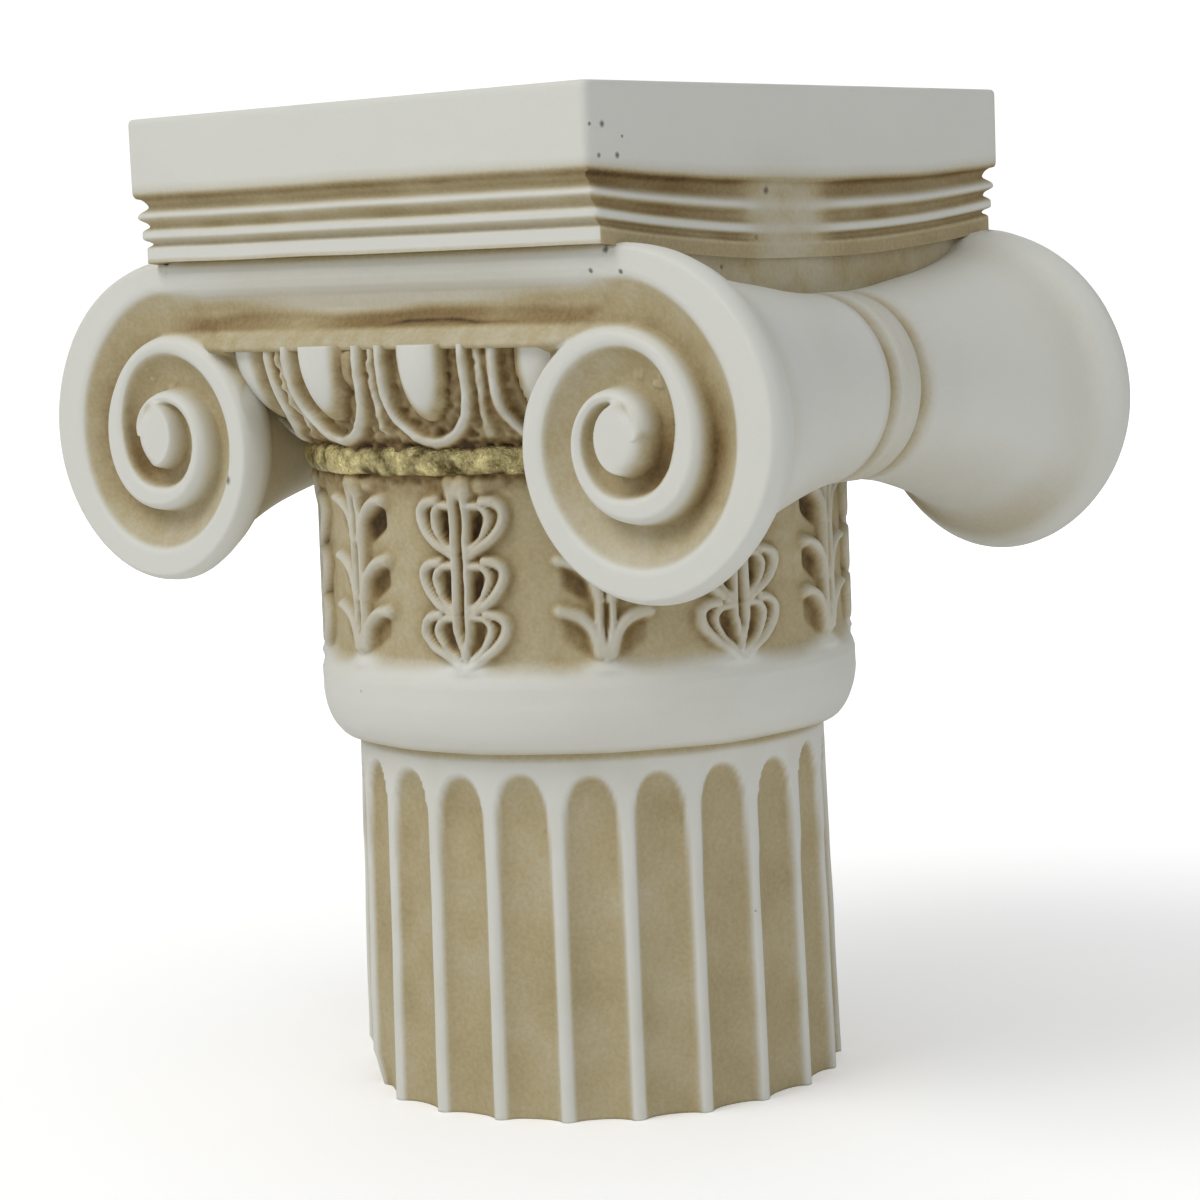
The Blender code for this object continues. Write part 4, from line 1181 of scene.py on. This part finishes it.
class StudioSettings(bpy.types.PropertyGroup):
    """Camera and lights."""

    azimuth: scalar("Azimuth", "Camera turn from the front", math.radians(41.08), subtype="ANGLE")
    pitch: scalar("Pitch", "Camera tilt down", math.radians(6.17), subtype="ANGLE")
    roll: scalar("Roll", "Camera roll", math.radians(-2.30), subtype="ANGLE")
    place: bpy.props.FloatVectorProperty(
        name="Place", description="Camera place", size=3, subtype="XYZ",
        default=(0.27961, -0.31805, 0.10926))
    lens: scalar("Lens", "Focal length in millimetres", 94.31, min=10.0)
    key: scalar("Key light", "Power of the key light", 4.4, min=0.0)
    fill: scalar("Fill light", "Power of the fill light", 1.0, min=0.0)
    behind: scalar("Back light", "Power of the light from behind", 1.5, min=0.0)
    sky: scalar("Sky", "Strength of the even light", 0.38, min=0.0)


# operators


def finishes():
    """The two finishes of the object, made once."""
    stone = bpy.data.materials.get("cast_stone_patina_and_painted_shade")
    gold = bpy.data.materials.get("gold_paint_rough")
    if stone is None or gold is None:
        colours = bpy.context.scene.stone_colours
        groups = {"stain": stain_group(), "pits": pit_group(), "corner": named_pit_group()}
        stone = stone_material(colours, groups)
        gold = gold_material(colours, groups)
    return stone, gold


def build(name, columns, rows, fill, gilded=False):
    """Carve one piece, give it its finish and tie it to the frame."""
    item = carve(name, columns, rows, fill)
    stone, gold = finishes()
    settle(item, gold if gilded else stone)


class COLUMN_OT_shaft(bpy.types.Operator):
    """Build the fluted shaft"""

    bl_idname = "column.shaft"
    bl_label = "Fluted shaft"

    def execute(self, context):
        sizes = context.scene.column_sizes
        build("shaft", 22 * 20, 72, lambda a, b: fill_shaft(sizes, a, b))
        return {"FINISHED"}


class COLUMN_OT_necking(bpy.types.Operator):
    """Build the plain band and the necking with its palmettes"""

    bl_idname = "column.necking"
    bl_label = "Band and necking"

    def execute(self, context):
        sizes = context.scene.column_sizes
        build("necking", 720, 128, lambda a, b: fill_necking(sizes, a, b))
        return {"FINISHED"}


class COLUMN_OT_ring(bpy.types.Operator):
    """Build the gold ring"""

    bl_idname = "column.ring"
    bl_label = "Gold ring"

    def execute(self, context):
        sizes = context.scene.column_sizes
        build("ring", 480, 22, lambda a, b: fill_ring(sizes, a, b), gilded=True)
        return {"FINISHED"}


class COLUMN_OT_echinus(bpy.types.Operator):
    """Build the echinus with eggs, shells and darts"""

    bl_idname = "column.echinus"
    bl_label = "Eggs and darts"

    def execute(self, context):
        sizes = context.scene.column_sizes
        build("echinus", 840, 66, lambda a, b: fill_echinus(sizes, a, b))
        return {"FINISHED"}


class COLUMN_OT_canalis(bpy.types.Operator):
    """Build the block with the canalis on the front and back"""

    bl_idname = "column.canalis"
    bl_label = "Canalis"

    def execute(self, context):
        build("canalis", 608, 76, fill_core)
        return {"FINISHED"}


class COLUMN_OT_bolsters(bpy.types.Operator):
    """Build both rolled bolsters with their spirals"""

    bl_idname = "column.bolsters"
    bl_label = "Volutes and bolsters"

    def execute(self, context):
        for side, name in ((1.0, "bolster_right"), (-1.0, "bolster_left")):
            build(name, 300, 329, lambda a, b: fill_bolster(side, a, b))
        return {"FINISHED"}


class COLUMN_OT_abacus(bpy.types.Operator):
    """Build the abacus with its reeds"""

    bl_idname = "column.abacus"
    bl_label = "Abacus"

    def execute(self, context):
        build("abacus", 560, 84, fill_abacus)
        return {"FINISHED"}


MIDDLE = (0.0, 0.0, 0.07)


def soft_light(name, place, size, power, colour):
    """A square area light that looks at the middle of the column."""
    data = bpy.data.lights.new(name, "AREA")
    data.shape = "SQUARE"
    data.size = size
    data.energy = power
    data.color = colour
    item = bpy.data.objects.new(name, data)
    bpy.context.scene.collection.objects.link(item)
    look = Vector(MIDDLE) - Vector(place)
    item.location = place
    item.rotation_euler = look.to_track_quat("-Z", "Y").to_euler()
    return item


def background(tree, colour, strength):
    """A Background node for the world."""
    node = tree.nodes.new("ShaderNodeBackground")
    node.inputs["Color"].default_value = colour
    node.inputs["Strength"].default_value = strength
    return node.outputs["Background"]


class COLUMN_OT_stage(bpy.types.Operator):
    """Build the floor, the lights and the camera"""

    bl_idname = "column.stage"
    bl_label = "Studio"

    def execute(self, context):
        studio = context.scene.studio_settings
        context.scene.view_settings.view_transform = "Standard"
        bm = bmesh.new()
        bmesh.ops.create_grid(bm, x_segments=2, y_segments=2, size=4.0)
        mesh = bpy.data.meshes.new("floor")
        bm.to_mesh(mesh)
        bm.free()
        floor = bpy.data.objects.new("floor", mesh)
        context.scene.collection.objects.link(floor)
        mesh.materials.append(floor_material(context.scene.stone_colours.floor))
        soft_light("key", (-0.22, -0.66, 0.85), 0.6, studio.key, (1.0, 0.99, 0.96))
        soft_light("behind", (-0.55, 0.85, 0.70), 0.8, studio.behind, (1.0, 0.99, 0.97))
        soft_light("fill", (0.85, -0.20, 0.40), 0.8, studio.fill, (0.94, 0.96, 1.0))
        world = bpy.data.worlds.new("studio")
        context.scene.world = world
        world.use_nodes = True
        tree = world.node_tree
        tree.nodes.clear()
        even = background(tree, (0.97, 0.98, 1.0, 1.0), studio.sky)
        white = background(tree, (1.0, 1.0, 1.0, 1.0), 1.05)
        path = tree.nodes.new("ShaderNodeLightPath")
        choose = tree.nodes.new("ShaderNodeMixShader")
        out = tree.nodes.new("ShaderNodeOutputWorld")
        tree.links.new(path.outputs["Is Camera Ray"], choose.inputs["Fac"])
        tree.links.new(even, choose.inputs[1])
        tree.links.new(white, choose.inputs[2])
        tree.links.new(choose.outputs["Shader"], out.inputs["Surface"])
        turn, pitch, roll = studio.azimuth, studio.pitch, studio.roll
        level = math.cos(pitch)
        back = Vector((math.sin(turn) * level, -math.cos(turn) * level, math.sin(pitch)))
        right = Vector((math.cos(turn), math.sin(turn), 0.0))
        up = back.cross(right)
        right_rolled = right * math.cos(roll) + up * math.sin(roll)
        up_rolled = up * math.cos(roll) - right * math.sin(roll)
        data = bpy.data.cameras.new("photo_view")
        data.lens = studio.lens
        data.sensor_width = 36.0
        data.clip_start = 0.01
        camera = bpy.data.objects.new("photo_view", data)
        context.scene.collection.objects.link(camera)
        matrix = Matrix((right_rolled, up_rolled, back)).transposed().to_4x4()
        matrix.translation = Vector(studio.place)
        camera.matrix_world = matrix
        context.scene.camera = camera
        return {"FINISHED"}


class COLUMN_PT_panel(bpy.types.Panel):
    """Sidebar panel of the column"""

    bl_idname = "COLUMN_PT_panel"
    bl_label = "Cast ionic column"
    bl_space_type = "VIEW_3D"
    bl_region_type = "UI"
    bl_category = "Column"

    def draw(self, context):
        for step in STEPS:
            self.layout.operator(step.bl_idname)
        scene = context.scene
        for settings in (scene.column_sizes, scene.stone_colours, scene.studio_settings):
            box = self.layout.box()
            for title in settings.bl_rna.properties.keys():
                if title not in ("rna_type", "name"):
                    box.prop(settings, title)


STEPS = (
    COLUMN_OT_shaft,
    COLUMN_OT_necking,
    COLUMN_OT_ring,
    COLUMN_OT_echinus,
    COLUMN_OT_canalis,
    COLUMN_OT_bolsters,
    COLUMN_OT_abacus,
    COLUMN_OT_stage,
)
SETTINGS = (ColumnSizes, StoneColours, StudioSettings)


def register():
    """Register the settings, the steps and the panel."""
    for item in SETTINGS + STEPS + (COLUMN_PT_panel,):
        bpy.utils.register_class(item)
    bpy.types.Scene.column_sizes = bpy.props.PointerProperty(type=ColumnSizes)
    bpy.types.Scene.stone_colours = bpy.props.PointerProperty(type=StoneColours)
    bpy.types.Scene.studio_settings = bpy.props.PointerProperty(type=StudioSettings)


def unregister():
    """Take everything out again."""
    del bpy.types.Scene.studio_settings
    del bpy.types.Scene.stone_colours
    del bpy.types.Scene.column_sizes
    for item in reversed(SETTINGS + STEPS + (COLUMN_PT_panel,)):
        bpy.utils.unregister_class(item)


def main():
    """Build every piece in order."""
    register()
    bpy.ops.column.shaft()
    bpy.ops.column.necking()
    bpy.ops.column.ring()
    bpy.ops.column.echinus()
    bpy.ops.column.canalis()
    bpy.ops.column.bolsters()
    bpy.ops.column.abacus()
    bpy.ops.column.stage()


if __name__ == "__main__":
    main()
